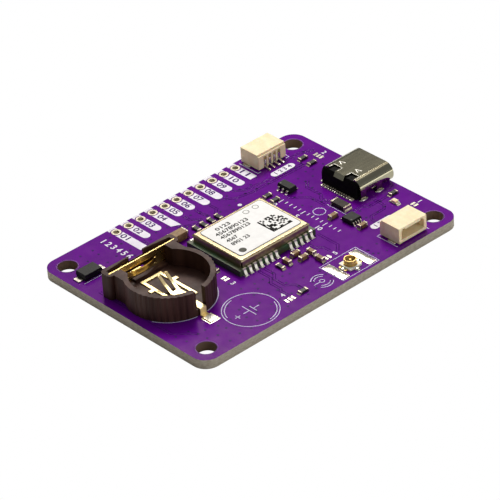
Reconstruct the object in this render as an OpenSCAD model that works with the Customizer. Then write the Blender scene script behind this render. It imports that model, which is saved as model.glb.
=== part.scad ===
// Satellite positioning board: a shielded receiver module, a coin cell holder, a USB receptacle,
// two cable sockets, an antenna connector and their small parts on one circuit board.
// The origin is the middle of the board's underside. +X runs to the USB receptacle,
// +Y runs to the row of header holes, and +Z points up from the board.

/* [Board] */
// Length of the board, along X
board_l = 54; // [53:0.5:70]
// Width of the board, along Y
board_w = 38; // [37.5:0.5:50]
// Thickness of the board
board_t = 1.6; // [0.8:0.1:2.4]
// Radius of the board's corners
corner_r = 2.5; // [0.5:0.1:4]
// Distance from the board's edges to the mounting holes' centres
hole_inset = 3; // [2.5:0.1:3.5]
// Diameter of the mounting holes
hole_d = 3.2; // [2:0.1:3.6]

/* [Header row] */
// Number of plated header holes
header_count = 11; // [4:1:12]
// Distance between header holes
header_pitch = 2.54; // [2:0.01:2.6]
// Diameter of the finished header holes
header_hole_d = 1; // [0.7:0.05:1.2]
// Diameter of the ring around each header hole
header_ring_d = 1.6; // [1.4:0.05:1.8]
// Distance from the board's edge to the row
header_inset = 1.35; // [1:0.05:2]
// Thickness of copper and solder on pads and in plated holes
plating_t = 0.05; // [0.03:0.01:0.08]

/* [Receiver module] */
// Length of the module's substrate, along X
module_l = 16; // [15.6:0.1:17]
// Width of the module's substrate, along Y
module_w = 12.2; // [12:0.1:13]
// Height of the module above the board, without its label
module_h = 2.4; // [2.2:0.1:3]
// Thickness of the module's substrate
substrate_t = 1; // [0.7:0.05:1.1]
// Height of the solder under the substrate
solder_t = 0.1; // [0.05:0.01:0.15]
// Bare margin of substrate past the shield at its two ends
shield_end_margin = 0.75; // [0.5:0.05:1]
// Bare margin of substrate past the shield along its two rows of terminals
shield_side_margin = 0.45; // [0.42:0.01:0.6]
// Thickness of the shield's sheet
shield_t = 0.2; // [0.1:0.01:0.25]
// Outer radius of the shield's folded top edges
shield_edge_r = 0.35; // [0.26:0.01:0.5]
// Width of the open slit at the shield's corners
shield_slit = 0.3; // [0.2:0.01:0.4]
// Bare margin of the shield's top around the label
label_margin = 0.75; // [0.5:0.05:1.5]
// Radius of the label's corners
label_corner_r = 0.65; // [0.2:0.05:1]
// Thickness of the label
label_t = 0.08; // [0.04:0.01:0.15]
// Number of terminals in the long group of each row
terminals_long = 7; // [3:1:7]
// Number of terminals in the short group of each row
terminals_short = 5; // [2:1:5]
// Distance between terminals
terminal_pitch = 1.1; // [1:0.01:1.12]
// Distance from the substrate's end to the first terminal of each group
terminal_inset = 1; // [0.8:0.05:1.2]
// Width of a terminal's pad on the board
terminal_w = 0.7; // [0.6:0.02:0.8]
// Radius of the half round plated notch at each terminal
notch_r = 0.25; // [0.15:0.01:0.3]
// Length of a terminal's solder past the substrate
terminal_toe = 0.6; // [0.3:0.05:0.8]

/* [Coin cell holder] */
// Diameter of the coin cell
cell_d = 12.5; // [12:0.1:13]
// Clearance around the cell
cell_clearance = 0.03; // [0.02:0.01:0.2]
// Thickness of the cup's wall
cup_wall = 0.85; // [0.6:0.05:1]
// Height of the holder above the board
holder_h = 4.35; // [4:0.05:5]
// Thickness of the holder's floor
holder_floor = 1.15; // [0.8:0.05:1.4]
// Width of the rear block that holds the upright contact
block_w = 14.3; // [14.2:0.1:15]
// Depth of the rear block
block_d = 2.4; // [2:0.1:2.8]
// Radius of the rear block's corners
block_corner_r = 0.7; // [0.2:0.05:0.9]
// Length of the upright contact blade
blade_l = 13.3; // [12.5:0.1:13.4]
// Thickness of the contact strip
strip_t = 0.2; // [0.12:0.01:0.25]
// Width of the gap in the cup's front
cup_gap = 1.9; // [1.7:0.1:2.6]
// Width of the opening in the rear wall
rear_gap = 2.9; // [2.4:0.1:3.4]
// Width across the legs of the floor contact
frame_w = 4.2; // [3.8:0.1:5]
// Width of each strip of the floor contact
frame_strip = 0.6; // [0.4:0.05:0.8]
// Rise of the floor contact's spring fingers
finger_rise = 1.9; // [1:0.1:2.2]
// Gap between the holder's rear block and the module
holder_gap = 3.3; // [3:0.05:4]
// Width of the solder feet
holder_foot_w = 1.7; // [1.2:0.1:1.9]
// Length of the solder feet
holder_foot_l = 1.7; // [1:0.1:2]

/* [USB receptacle] */
// Width of the shell
usb_w = 8.94; // [8.8:0.02:9.2]
// Height of the shell
usb_h = 3.26; // [3.1:0.02:3.4]
// Length of the shell
usb_l = 7.3; // [7:0.1:7.6]
// Thickness of the shell's sheet
usb_wall = 0.3; // [0.2:0.01:0.35]
// Length of shell past the board's edge
usb_overhang = 0; // [-0.5:0.1:1]
// Place of the receptacle's middle along the board's edge
usb_y = 0.15; // [-1:0.05:1]
// Width of the tongue
tongue_w = 6.69; // [6.5:0.01:6.8]
// Thickness of the tongue
tongue_t = 0.7; // [0.6:0.02:0.8]
// Distance from the mouth to the tongue's tip
tongue_setback = 0.7; // [0.5:0.05:1]
// Width of each stake that goes through the board
stake_w = 1.15; // [0.8:0.05:1.2]

/* [Cable sockets] */
// Number of contacts in a socket
socket_pins = 4; // [2:1:4]
// Distance between contacts
socket_pitch = 1; // [0.9:0.01:1]
// Width of a housing past its outermost contacts, at each end
socket_end = 1.5; // [1.45:0.05:1.8]
// Depth of a housing
socket_d = 4.25; // [4:0.05:4.5]
// Height of a housing
socket_h = 2.95; // [2.8:0.05:3.2]
// Gap under a housing
socket_lift = 0.25; // [0.1:0.01:0.3]
// Thickness of a housing's walls
socket_wall = 0.55; // [0.5:0.01:0.6]
// Thickness of the contact strip
socket_strip = 0.22; // [0.15:0.01:0.25]
// Width of the contact strip
socket_strip_w = 0.34; // [0.25:0.01:0.4]
// Distance from the board's end to the sockets' middle
socket_inset = 9.4; // [9:0.05:10]
// Distance from the board's edge to the rear socket's mouth
rear_socket_inset = 0.8; // [0:0.05:1.2]
// Distance from the board's edge to the front socket's mouth
front_socket_inset = 1.1; // [0:0.05:1.5]

/* [Antenna connector] */
// Length of the square base
coax_base_l = 2.6; // [2.4:0.05:2.8]
// Height of the base
coax_base_h = 0.35; // [0.25:0.05:0.5]
// Outer diameter of the ring
coax_ring_d = 2; // [1.8:0.05:2.2]
// Thickness of the ring
coax_ring_t = 0.16; // [0.1:0.01:0.2]
// Height of the ring above the board
coax_h = 1.25; // [1:0.05:1.5]
// Diameter of the centre pin
coax_pin_d = 0.4; // [0.25:0.05:0.5]
// Distance from the board's edge to the connector's middle
coax_inset = 2.9; // [2.6:0.05:3.2]
// Distance between the long tinned pads beside the connector
antenna_pad_gap = 5.7; // [5.5:0.05:6]

/* [Small parts] */
// Length of a small two-ended chip
chip_l = 1.6; // [1.4:0.05:1.7]
// Width of a small two-ended chip
chip_w = 0.8; // [0.7:0.02:0.9]
// Height of a small resistor
resistor_h = 0.45; // [0.35:0.02:0.6]
// Height of a small capacitor
capacitor_h = 0.75; // [0.5:0.05:0.9]
// Length of a large two-ended chip
large_l = 3.2; // [3:0.05:3.3]
// Width of a large two-ended chip
large_w = 1.6; // [1.4:0.05:1.7]
// Height of the large capacitor
large_capacitor_h = 1.4; // [1:0.05:1.6]
// Height of the fuse
fuse_h = 0.8; // [0.5:0.05:1]
// Length of a chip's metal end
chip_end = 0.3; // [0.2:0.01:0.4]
// Length of the solder fillet past a chip's end
fillet_l = 0.25; // [0.15:0.01:0.3]
// Thickness of the lead strip on the chips with legs
lead_t = 0.14; // [0.1:0.01:0.18]
// Thickness of the diode's lead strip
diode_lead_t = 0.2; // [0.15:0.01:0.25]
// Width of a solder jumper's pad
jumper_w = 0.42; // [0.3:0.01:0.45]
// Length of a solder jumper's pad
jumper_l = 0.95; // [0.8:0.05:1.1]
// Distance between a solder jumper's pads
jumper_pitch = 0.67; // [0.6:0.01:0.75]

/* [Hidden] */
$fn = 48;
cut = 1;
left_x = -board_l / 2;
right_x = board_l / 2;
front_y = -board_w / 2;
back_y = board_w / 2;

header_x = 0.1;
header_y = back_y - header_inset;

module_end_x = module_l / 2;
module_side_y = module_w / 2;
substrate_top = solder_t + substrate_t;
shield_l = module_l - 2 * shield_end_margin;
shield_w = module_w - 2 * shield_side_margin;
shield_h = module_h - substrate_top;
terminal_land = 0.32;
terminal_heel = 0.5;
label_offset = [0.1, 0.12];

holder_x = -module_end_x - holder_gap - block_w / 2;
holder_y = -1.85;
cavity_r = cell_d / 2 + cell_clearance;
cup_r = cavity_r + cup_wall;
blade_y = cavity_r;
block_front = blade_y - 0.8;
block_back = block_front + block_d;
neck_w = 2 * cavity_r;
blade_window = 9;
ledge_x = [-2.4, 4.1];
ledge_d = 1.1;
ledge_h = 0.45;
leaf_l = 6.6;
leaf_x = -0.6;
leaf_h = 0.8;
leaf_bow = 0.75;
leaf_window = [0.8, 2.15];
blade_clearance = 0.02;
blade_slot = strip_t + 2 * blade_clearance;
rear_wall_end = 0.7;
rear_wall_edge = 0.2;
rear_bar_h = 2.3;
flute_r = 0.5;
flute_depth = 0.11;
flute_start = 22;
flute_step = 8;
flute_count = 9;
frame_front = -3.9;
frame_back = 4.6;
finger_front = -1.1;
finger_l = 3.2;
finger_w = 0.55;
barb_out = 0.35;
barb_w = 0.8;
barb_y = 1.2;
barb_l = 0.7;
plate_w = 1.95;
tail_w = 1.2;
tail_clearance = 0.15;
foot_y = cup_r + 1;

usb_x = right_x + usb_overhang - usb_l;
usb_inner_w = usb_w - 2 * usb_wall;
usb_inner_h = usb_h - 2 * usb_wall;
usb_rear = 0.6;
usb_rear_slope = 0.9;
usb_tab_t = 0.2;
usb_tab_drop = 0.8;
usb_notch_w = 1.75;
usb_notch_l = 1.15;
usb_notch_y = 1.95;
usb_plug_l = 1.7;
usb_fit = 0.02;
stake_clearance = 0.12;
stake_front = usb_l - 3.2;
stake_rear = stake_w / 2;
contact_t = 0.12;
narrow_contact = 0.28;
wide_contact = 0.56;
contact_places = [
    for (s = [-1, 1], i = [0:5])
        i < 4 ? [s * (0.25 + 0.5 * i), narrow_contact] : [s * (2.42 + 0.8 * (i - 4)), wide_contact]
];
contact_tip = usb_l - tongue_setback - 0.5;

socket_w = (socket_pins - 1) * socket_pitch + 2 * socket_end;
socket_x = right_x - socket_inset;
socket_pin_z = socket_h / 2 + 0.1;
socket_toe = 1.15;
socket_back_wall = 1.1;
socket_lip_h = 0.7;
socket_lip_d = 0.3;

coax_x = 5.75;
coax_y = front_y + coax_inset;
antenna_pad_l = 4.6;
antenna_pad_w = 1.6;

cap_lip = 0.04;
resistor_places = [
    for (i = [0:3]) [-3.6 + 1.55 * i, module_side_y + 2.65, 90],
    [module_end_x + 2.4, 7.5, 0],
    [module_end_x + 2.4, 5.7, 0],
    [right_x - 5, usb_y + 11.35, 0],
    [right_x - 5, usb_y + 9.25, 0],
    [right_x - 2.6, usb_y - 6.85, 0],
    [-4.2, front_y + 3, 0],
    [-2, -module_side_y - 2.6, 90],
    [-module_end_x - 1.35, -1.7, 90]
];
capacitor_places = [
    [-0.45, -module_side_y - 2.45, 90],
    [1.85, -module_side_y - 1.85, 0],
    [2, -module_side_y - 3.5, 0],
    [3.9, -module_side_y - 3.3, 90],
    [3.55, -module_side_y - 5.6, 90],
    [right_x - 13.8, usb_y - 4.75, 0],
    [right_x - 12.6, usb_y - 10.1, 0]
];
bulk_place = [0.5 - module_end_x, module_side_y + 2.7, 0];
fuse_place = [right_x - 10.7, usb_y - 3.35, 90];
led_place = [right_x - 4.2, usb_y - 8.85, 90];
led_h = 0.6;
led_base_h = 0.25;

diode_l = 3.5;
diode_w = 2.4;
diode_h = 1.05;
diode_toe = 1;
diode_lead_w = 1.4;
diode_heel = 0.8;
diode_x = left_x + 3.9;
diode_y = back_y - 7.2;

esd_l = 2.9;
esd_w = 1.6;
esd_h = 1.1;
esd_pitch = 0.95;
esd_lead_w = 0.38;
esd_toe = 0.6;
esd_x = module_end_x + 6;
esd_y = usb_y + 6.55;

regulator_l = 2.3;
regulator_w = 2.2;
regulator_h = 0.9;
regulator_pitch = 0.5;
regulator_lead_w = 0.24;
regulator_toe = 0.6;
regulator_x = right_x - 12.45;
regulator_y = usb_y - 7.55;

body_lift = 0.08;
body_draft = 0.1;
lead_root = 0.2;

// Each solder jumper: its middle, its turn and its number of pads
jumper_places = [
    [right_x - 2.5, usb_y - 11.5, 0, 2],
    [right_x - 2.6, usb_y + 10.2, 0, 3],
    [-module_end_x - 1.8, -4.65, 0, 2],
    [-6.9, front_y + 3, 90, 3],
    [4.85, front_y + 7, 90, 2]
];

// Shared shapes

module box(low, high) {
    translate(low) cube(high - low);
}

module rounded_rect(l, w, r) {
    square([l - 2 * r, w], center = true);
    square([l, w - 2 * r], center = true);
    for (x = [-1, 1], y = [-1, 1])
        translate([x * (l / 2 - r), y * (w / 2 - r)]) circle(r = r);
}

module obround(w, h) {
    square([w - h, h], center = true);
    for (s = [-1, 1]) translate([s * (w - h) / 2, 0]) circle(d = h);
}

// Extrudes a flat shape along X, with the shape's own x along Y and its y along Z
module along_x(length) {
    rotate([90, 0, 90]) linear_extrude(length) children();
}

// The same, with the extrusion centred on X = 0
module across_x(width) {
    translate([-width / 2, 0, 0]) along_x(width) children();
}

module on_board(place) {
    translate([place[0], place[1], board_t]) rotate([0, 0, place[2]]) children();
}

// Two-ended chips

module chip_body(l, w, h) {
    box([chip_end - l / 2, cap_lip - w / 2, cap_lip], [l / 2 - chip_end, w / 2 - cap_lip, h - cap_lip]);
}

module chip_terminals(l, w, h) {
    fillet_h = 0.6 * h;
    for (s = [0, 1]) mirror([s, 0, 0]) {
        box([l / 2 - chip_end, -w / 2, 0], [l / 2, w / 2, h]);
        translate([l / 2, w / 2, 0]) rotate([90, 0, 0])
            linear_extrude(w)
                polygon([[0, 0], [fillet_l, 0], [0.3 * fillet_l, 0.35 * fillet_h], [0, fillet_h]]);
    }
}

// Moulded chips with bent legs, legs along +X and -X

module moulded_body(l, w, h) {
    z1 = h - body_lift;
    translate([0, 0, body_lift]) intersection() {
        translate([0, l / 2, 0]) rotate([90, 0, 0]) linear_extrude(l) drafted_profile(w, z1);
        across_x(w) drafted_profile(l, z1);
    }
}

module drafted_profile(w, h) {
    a = w / 2 - body_draft;
    polygon([[-a, 0], [a, 0], [w / 2, h / 2], [a, h], [-a, h], [-w / 2, h / 2]]);
}

module bent_legs(count, pitch, width, body_w, body_h, toe) {
    mid = (body_h + body_lift) / 2;
    bend = 0.35 * toe;
    for (s = [0, 1], i = [0:count - 1]) mirror([s, 0, 0])
        translate([body_w / 2, (i - (count - 1) / 2) * pitch + width / 2, 0])
            rotate([90, 0, 0]) linear_extrude(width) polygon([
                [-lead_root, mid + lead_t / 2], [bend, mid + lead_t / 2],
                [bend + lead_t, lead_t], [toe, lead_t], [toe, 0], [bend + 0.3 * lead_t, 0],
                [bend - 0.7 * lead_t, mid - lead_t / 2], [-lead_root, mid - lead_t / 2]
            ]);
}

// Board and its bare pads

module header_positions() {
    for (i = [0:header_count - 1])
        translate([header_x + (i - (header_count - 1) / 2) * header_pitch, header_y, 0]) children();
}

module stake_positions() {
    for (x = [stake_front, stake_rear], s = [-1, 1])
        translate([usb_x + x, usb_y + s * (usb_w - usb_wall) / 2, 0]) children();
}

module circuit_board() {
    color("rebeccapurple") difference() {
        linear_extrude(board_t) rounded_rect(board_l, board_w, corner_r);
        for (x = [-1, 1], y = [-1, 1])
            translate([x * (right_x - hole_inset), y * (back_y - hole_inset), -cut])
                cylinder(d = hole_d, h = board_t + 2 * cut);
        header_positions() {
            translate([0, 0, -cut]) cylinder(d = header_hole_d + 2 * plating_t, h = board_t + 2 * cut);
            translate([0, 0, -cut]) cylinder(d = header_ring_d, h = cut + plating_t);
        }
        stake_positions() translate([0, 0, -cut]) linear_extrude(board_t + 2 * cut)
            obround(stake_w + 4 * stake_clearance, usb_wall + 2 * stake_clearance);
    }
}

module header_barrels() {
    color("gold") header_positions() difference() {
        union() {
            cylinder(d = header_ring_d, h = plating_t);
            cylinder(d = header_hole_d + 2 * plating_t, h = board_t);
            translate([0, 0, board_t]) cylinder(d = header_ring_d, h = plating_t);
        }
        translate([0, 0, -cut]) cylinder(d = header_hole_d, h = board_t + 2 * cut);
    }
}

module jumper_pads() {
    color("silver") for (place = jumper_places) on_board(place)
        for (i = [0:place[3] - 1])
            translate([0, (i - (place[3] - 1) / 2) * jumper_pitch, 0])
                linear_extrude(plating_t) square([jumper_l, jumper_w], center = true);
}

module antenna_pads() {
    color("silver") for (s = [-1, 1])
        translate([coax_x + s * antenna_pad_gap / 2, front_y + 0.85, board_t])
            box([-antenna_pad_w / 2, 0, 0], [antenna_pad_w / 2, antenna_pad_l, plating_t]);
}

// Receiver module

module terminal_positions() {
    for (s = [0, 1]) mirror([0, s, 0]) {
        for (i = [0:terminals_long - 1])
            translate([terminal_inset - module_end_x + i * terminal_pitch, -module_side_y, board_t])
                children();
        for (i = [0:terminals_short - 1])
            translate([module_end_x - terminal_inset - i * terminal_pitch, -module_side_y, board_t])
                children();
    }
}

module module_substrate() {
    color("darkgreen") difference() {
        translate([0, 0, board_t + solder_t]) linear_extrude(substrate_t)
            square([module_l, module_w], center = true);
        terminal_positions() cylinder(r = notch_r, h = substrate_top + cut);
    }
}

module module_terminals() {
    color("silver") terminal_positions() {
        box([-terminal_w / 2, -terminal_toe, 0], [terminal_w / 2, terminal_heel, solder_t]);
        difference() {
            union() {
                cylinder(r = notch_r, h = substrate_top + plating_t);
                box([-terminal_w / 2, 0, substrate_top],
                    [terminal_w / 2, terminal_land, substrate_top + plating_t]);
            }
            box([-cut, -cut, -cut], [cut, 0, substrate_top + cut]);
        }
        across_x(2 * notch_r) polygon([
            [0, solder_t], [-0.9 * terminal_toe, solder_t], [-0.35 * terminal_toe, 0.4 * substrate_top],
            [-0.12 * terminal_toe, 0.75 * substrate_top], [0, 0.8 * substrate_top]
        ]);
    }
}

// A flat shape with its two upper corners rounded
module folded_profile(w, h, r) {
    translate([-w / 2, 0]) square([w, h - r]);
    translate([r - w / 2, 0]) square([w - 2 * r, h]);
    for (s = [-1, 1]) translate([s * (w / 2 - r), h - r]) circle(r = r);
}

module folded_can(l, w, h, r) {
    intersection() {
        across_x(l) folded_profile(w, h, r);
        translate([0, w / 2, 0]) rotate([90, 0, 0]) linear_extrude(w) folded_profile(l, h, r);
    }
}

module module_shield() {
    inner_r = shield_edge_r - shield_t;
    color("lightgray") translate([0, 0, board_t + substrate_top]) difference() {
        folded_can(shield_l, shield_w, shield_h, shield_edge_r);
        translate([0, 0, -cut])
            folded_can(shield_l - 2 * shield_t, shield_w - 2 * shield_t, shield_h - shield_t + cut, inner_r);
        for (x = [-1, 1], y = [-1, 1])
            translate([x * shield_l / 2, y * shield_w / 2, -cut])
                linear_extrude(shield_h - shield_edge_r + cut) square(2 * shield_slit, center = true);
    }
}

module module_label() {
    color("white") translate([label_offset[0], label_offset[1], board_t + module_h]) linear_extrude(label_t)
        rounded_rect(shield_l - 2 * label_margin, shield_w - 2 * label_margin, label_corner_r);
}

module on_substrate(x, y) {
    translate([x, y, board_t + substrate_top]) children();
}

module receiver_chip() {
    color("dimgray") on_substrate(-2.2, 0.4)
        linear_extrude(0.75 * (shield_h - shield_t)) rounded_rect(5, 5, 0.2);
}

module crystal_oscillator() {
    color("gainsboro") on_substrate(3.6, -2.4)
        linear_extrude(0.65 * (shield_h - shield_t)) rounded_rect(2.5, 2, 0.25);
}

module antenna_filter() {
    color("khaki") on_substrate(4.4, 2.2)
        linear_extrude(0.5 * (shield_h - shield_t)) rounded_rect(1.4, 1.1, 0.1);
}

module supply_inductor() {
    color("slategray") on_substrate(1.9, 2.9)
        linear_extrude(0.7 * (shield_h - shield_t)) rounded_rect(1.6, 0.8, 0.1);
}

// Coin cell holder, drawn around the cell's axis

module at_holder() {
    translate([holder_x, holder_y, board_t]) children();
}

// Shallow upright flutes round the cup's front, clear of its gap
module cup_flutes() {
    reach = cup_r + flute_r - flute_depth;
    for (s = [-1, 1], i = [0:flute_count - 1])
        rotate(s * (flute_start + i * flute_step) - 90) translate([reach, 0]) circle(r = flute_r);
}

module holder_outline() {
    difference() {
        circle(r = cup_r, $fn = 96);
        cup_flutes();
    }
    translate([-neck_w / 2, 0]) square([neck_w, block_front + block_d / 2]);
    translate([0, (block_front + block_back) / 2]) rounded_rect(block_w, block_d, block_corner_r);
}

// Hollow behind the blade, with a rear wall that thins towards its middle opening
module rear_hollow() {
    a = blade_l / 2 - 0.3;
    b = rear_gap / 2;
    thick = block_back - rear_wall_end;
    thin = block_back - rear_wall_edge;
    out = block_back + cut;
    polygon([
        [-a, blade_y], [-a, thick], [-b, thin], [-b, out], [b, out], [b, thin], [a, thick], [a, blade_y]
    ]);
}

// Round ends of the cup's wall beside its front gap
module gap_posts() {
    post_r = 0.56 * cup_wall;
    reach = cup_r - cup_wall / 2;
    turn = asin((cup_gap / 2 + post_r) / reach);
    for (s = [-1, 1]) rotate(s * turn) translate([0, -reach]) circle(r = post_r);
}

// The cup's wall and the rear block from above, open inside
module holder_wall_outline() {
    slot_l = blade_l + 2 * blade_clearance;
    difference() {
        holder_outline();
        circle(r = cavity_r, $fn = 96);
        rear_hollow();
        translate([-blade_window / 2, 0]) square([blade_window, blade_y]);
        translate([-slot_l / 2, blade_y - blade_slot / 2]) square([slot_l, blade_slot]);
        translate([-cup_gap / 2, -cup_r - cut]) square([cup_gap, cup_r + cut]);
    }
    gap_posts();
}

module holder_body() {
    color("#3b2b2b") at_holder() {
        linear_extrude(holder_floor) holder_outline();
        translate([0, 0, holder_floor]) linear_extrude(holder_h - holder_floor) holder_wall_outline();
        box([ledge_x[0], blade_y - ledge_d, holder_floor - cut / 2],
            [ledge_x[1], blade_y - blade_slot / 2, holder_floor + ledge_h]);
        box([-rear_gap / 2 - rear_wall_edge, block_back - 0.8 * rear_wall_edge, holder_floor + 2 * strip_t],
            [rear_gap / 2 + rear_wall_edge, block_back - 0.2 * rear_wall_edge, holder_floor + rear_bar_h]);
    }
}

// Leaf bowed towards the cell, across the blade's window
module bowed_leaf() {
    leaf_r = leaf_l * leaf_l / (8 * leaf_bow) + leaf_bow / 2;
    reach = leaf_l / 2 + 0.3;
    translate([leaf_x, 0, holder_floor + leaf_window[0] + (leaf_window[1] - leaf_window[0] - leaf_h) / 2])
        linear_extrude(leaf_h) intersection() {
            translate([0, blade_y + leaf_r - leaf_bow]) difference() {
                circle(r = leaf_r + strip_t / 2, $fn = 96);
                circle(r = leaf_r - strip_t / 2, $fn = 96);
            }
            translate([-reach, blade_y + strip_t / 2 - 2 * leaf_bow]) square([2 * reach, 2 * leaf_bow]);
        }
}

module holder_blade_contact() {
    half = strip_t / 2;
    window_x = leaf_l / 2;
    color("goldenrod") at_holder() {
        difference() {
            box([-blade_l / 2, blade_y - half, holder_floor], [blade_l / 2, blade_y + half, holder_h]);
            box([leaf_x - window_x, blade_y - cut, holder_floor + leaf_window[0]],
                [leaf_x + window_x, blade_y + cut, holder_floor + leaf_window[1]]);
        }
        bowed_leaf();
        across_x(holder_foot_w) polygon([
            [blade_y + half, holder_floor], [blade_y + half, holder_floor + strip_t],
            [block_back + strip_t, holder_floor + strip_t], [block_back + 2 * strip_t, strip_t],
            [block_back + holder_foot_l, strip_t], [block_back + holder_foot_l, 0],
            [block_back + strip_t, 0], [block_back, holder_floor]
        ]);
    }
}

// Strip that leaves the cup through its front gap, drops beside the wall and ends in its solder foot
module holder_tail() {
    z0 = holder_floor;
    z1 = holder_floor + strip_t;
    y0 = -cup_r - tail_clearance;
    y1 = y0 - strip_t;
    across_x(tail_w) polygon([
        [frame_front, z0], [frame_front, z1], [y1 + strip_t / 2, z1], [y1, z1 - strip_t / 2], [y1, strip_t],
        [-foot_y - strip_t, strip_t], [-foot_y - strip_t, 0], [y0, 0], [y0, z0]
    ]);
    box([-holder_foot_w / 2, -foot_y - holder_foot_l, 0], [holder_foot_w / 2, -foot_y, strip_t]);
}

module spring_finger() {
    z0 = holder_floor;
    tip = z0 + finger_rise;
    across_x(finger_w) polygon([
        [finger_front, z0], [finger_front, z0 + strip_t],
        [finger_front + 0.55 * finger_l, z0 + 0.62 * finger_rise + strip_t],
        [finger_front + 0.85 * finger_l, tip + strip_t], [finger_front + finger_l, tip],
        [finger_front + finger_l, tip - strip_t], [finger_front + 0.85 * finger_l, tip],
        [finger_front + 0.57 * finger_l, z0 + 0.62 * finger_rise], [finger_front + 1.5 * strip_t, z0]
    ]);
}

module holder_floor_contact() {
    half = frame_w / 2;
    z = [holder_floor, holder_floor + strip_t];
    color("goldenrod") at_holder() {
        for (s = [-1, 1]) {
            box([s * (half - frame_strip / 2) - frame_strip / 2, frame_front, z[0]],
                [s * (half - frame_strip / 2) + frame_strip / 2, frame_back, z[1]]);
            box([s * (half + barb_out) - barb_w / 2, barb_y, z[0]],
                [s * (half + barb_out) + barb_w / 2, barb_y + barb_l, z[1]]);
        }
        box([-half, frame_back - frame_strip, z[0]], [half, frame_back, z[1]]);
        box([-half, frame_front, z[0]], [half, frame_front + 0.9, z[1]]);
        box([-plate_w / 2, frame_front, z[0]], [plate_w / 2, finger_front + strip_t, z[1]]);
        for (s = [-1, 1]) translate([s * (plate_w - finger_w) / 2, 0, 0]) spring_finger();
        holder_tail();
    }
}

// USB receptacle, drawn from the middle of its shell's rear edge

module at_usb() {
    translate([usb_x, usb_y, board_t]) children();
}

// Tab between the shell's rear notches, bent down behind the insulator
module usb_rear_tab() {
    width = 2 * usb_notch_y - usb_notch_w;
    translate([0, width / 2, usb_h]) rotate([90, 0, 0]) linear_extrude(width) polygon([
        [usb_tab_t, 0], [-usb_tab_t, 0], [-usb_rear - 0.04, -usb_tab_drop],
        [-usb_rear + 0.8 * usb_tab_t, -usb_tab_drop], [-0.4 * usb_tab_t, -usb_tab_t], [usb_tab_t, -usb_tab_t]
    ]);
}

module usb_shell() {
    stake_top = usb_h / 2;
    color("darkgray") at_usb() difference() {
        union() {
            along_x(usb_l) translate([0, usb_h / 2]) difference() {
                obround(usb_w, usb_h);
                obround(usb_inner_w, usb_inner_h);
            }
            for (x = [stake_front, stake_rear], s = [-1, 1])
                translate([x, s * (usb_w - usb_wall) / 2, -board_t])
                    box([-stake_w / 2, -usb_wall / 2, 0], [stake_w / 2, usb_wall / 2, board_t + stake_top]);
            usb_rear_tab();
        }
        for (s = [-1, 1])
            translate([-cut, s * usb_notch_y, usb_h - usb_wall - cut / 2])
                box([0, -usb_notch_w / 2, 0], [cut + usb_notch_l, usb_notch_w / 2, cut]);
    }
}

module usb_contact_profile() {
    top = (usb_h + tongue_t) / 2;
    toe = usb_rear + 0.7;
    polygon([
        [-toe, 0], [-toe, 0.15], [-0.35, 0.15], [-0.35, top], [contact_tip, top],
        [contact_tip, top - contact_t], [-0.2, top - contact_t], [-0.2, 0]
    ]);
}

module usb_contacts_shape() {
    low = (usb_h - tongue_t) / 2;
    for (place = contact_places) {
        translate([0, place[0] + place[1] / 2, 0]) rotate([90, 0, 0])
            linear_extrude(place[1]) usb_contact_profile();
        box([usb_plug_l, place[0] - place[1] / 2, low],
            [contact_tip, place[0] + place[1] / 2, low + contact_t]);
    }
}

module usb_midplate_shape() {
    mid = usb_h / 2;
    box([0.4, -tongue_w / 2, mid - 0.08], [contact_tip - 0.2, tongue_w / 2, mid + 0.08]);
}

module usb_insulator() {
    rear_w = usb_inner_w - 0.6;
    rear_top = usb_h - usb_wall - usb_fit;
    color("#181818") at_usb() difference() {
        union() {
            along_x(usb_plug_l) translate([0, usb_h / 2])
                obround(usb_inner_w - 2 * usb_fit, usb_inner_h - 2 * usb_fit);
            translate([0, rear_w / 2, 0]) rotate([90, 0, 0]) linear_extrude(rear_w) polygon([
                [0, 0], [-usb_rear, 0], [-usb_rear, rear_top - usb_rear_slope],
                [-usb_tab_t / 2, rear_top], [0, rear_top]
            ]);
            box([0, -tongue_w / 2, (usb_h - tongue_t) / 2],
                [usb_l - tongue_setback, tongue_w / 2, (usb_h + tongue_t) / 2]);
        }
        usb_contacts_shape();
        usb_midplate_shape();
    }
}

module usb_contacts() {
    color("gold") at_usb() usb_contacts_shape();
}

module usb_midplate() {
    color("silver") at_usb() usb_midplate_shape();
}

// Cable sockets, drawn with the mouth towards +Y and the housing's middle at the origin

module at_rear_socket() {
    translate([socket_x, back_y - rear_socket_inset - socket_d / 2, board_t]) children();
}

module at_front_socket() {
    translate([socket_x, front_y + front_socket_inset + socket_d / 2, board_t])
        rotate([0, 0, 180]) children();
}

module socket_contact_profile() {
    back = -socket_d / 2;
    polygon([
        [back - socket_toe, 0], [back - socket_toe, socket_strip],
        [back, 2 * socket_strip], [back, socket_pin_z + socket_strip / 2],
        [socket_d / 2 - 1.3, socket_pin_z + socket_strip / 2], [socket_d / 2 - 1.1, socket_pin_z],
        [socket_d / 2 - 1.3, socket_pin_z - socket_strip / 2],
        [back + socket_strip, socket_pin_z - socket_strip / 2], [back + socket_strip, socket_strip], [back, 0]
    ]);
}

module socket_contact_shape() {
    for (i = [0:socket_pins - 1])
        translate([(i - (socket_pins - 1) / 2) * socket_pitch, 0, 0])
            across_x(socket_strip_w) socket_contact_profile();
}

module socket_tab_shape() {
    side = socket_w / 2;
    y0 = socket_d / 2 - 2.3;
    y1 = socket_d / 2 - 0.7;
    for (s = [0, 1]) mirror([s, 0, 0]) {
        box([side - 0.4, y0, 0], [side + 0.35, y1, socket_strip]);
        box([side - 0.4, y0, 0], [side - 0.4 + socket_strip, y1, 1.3]);
    }
}

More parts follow.
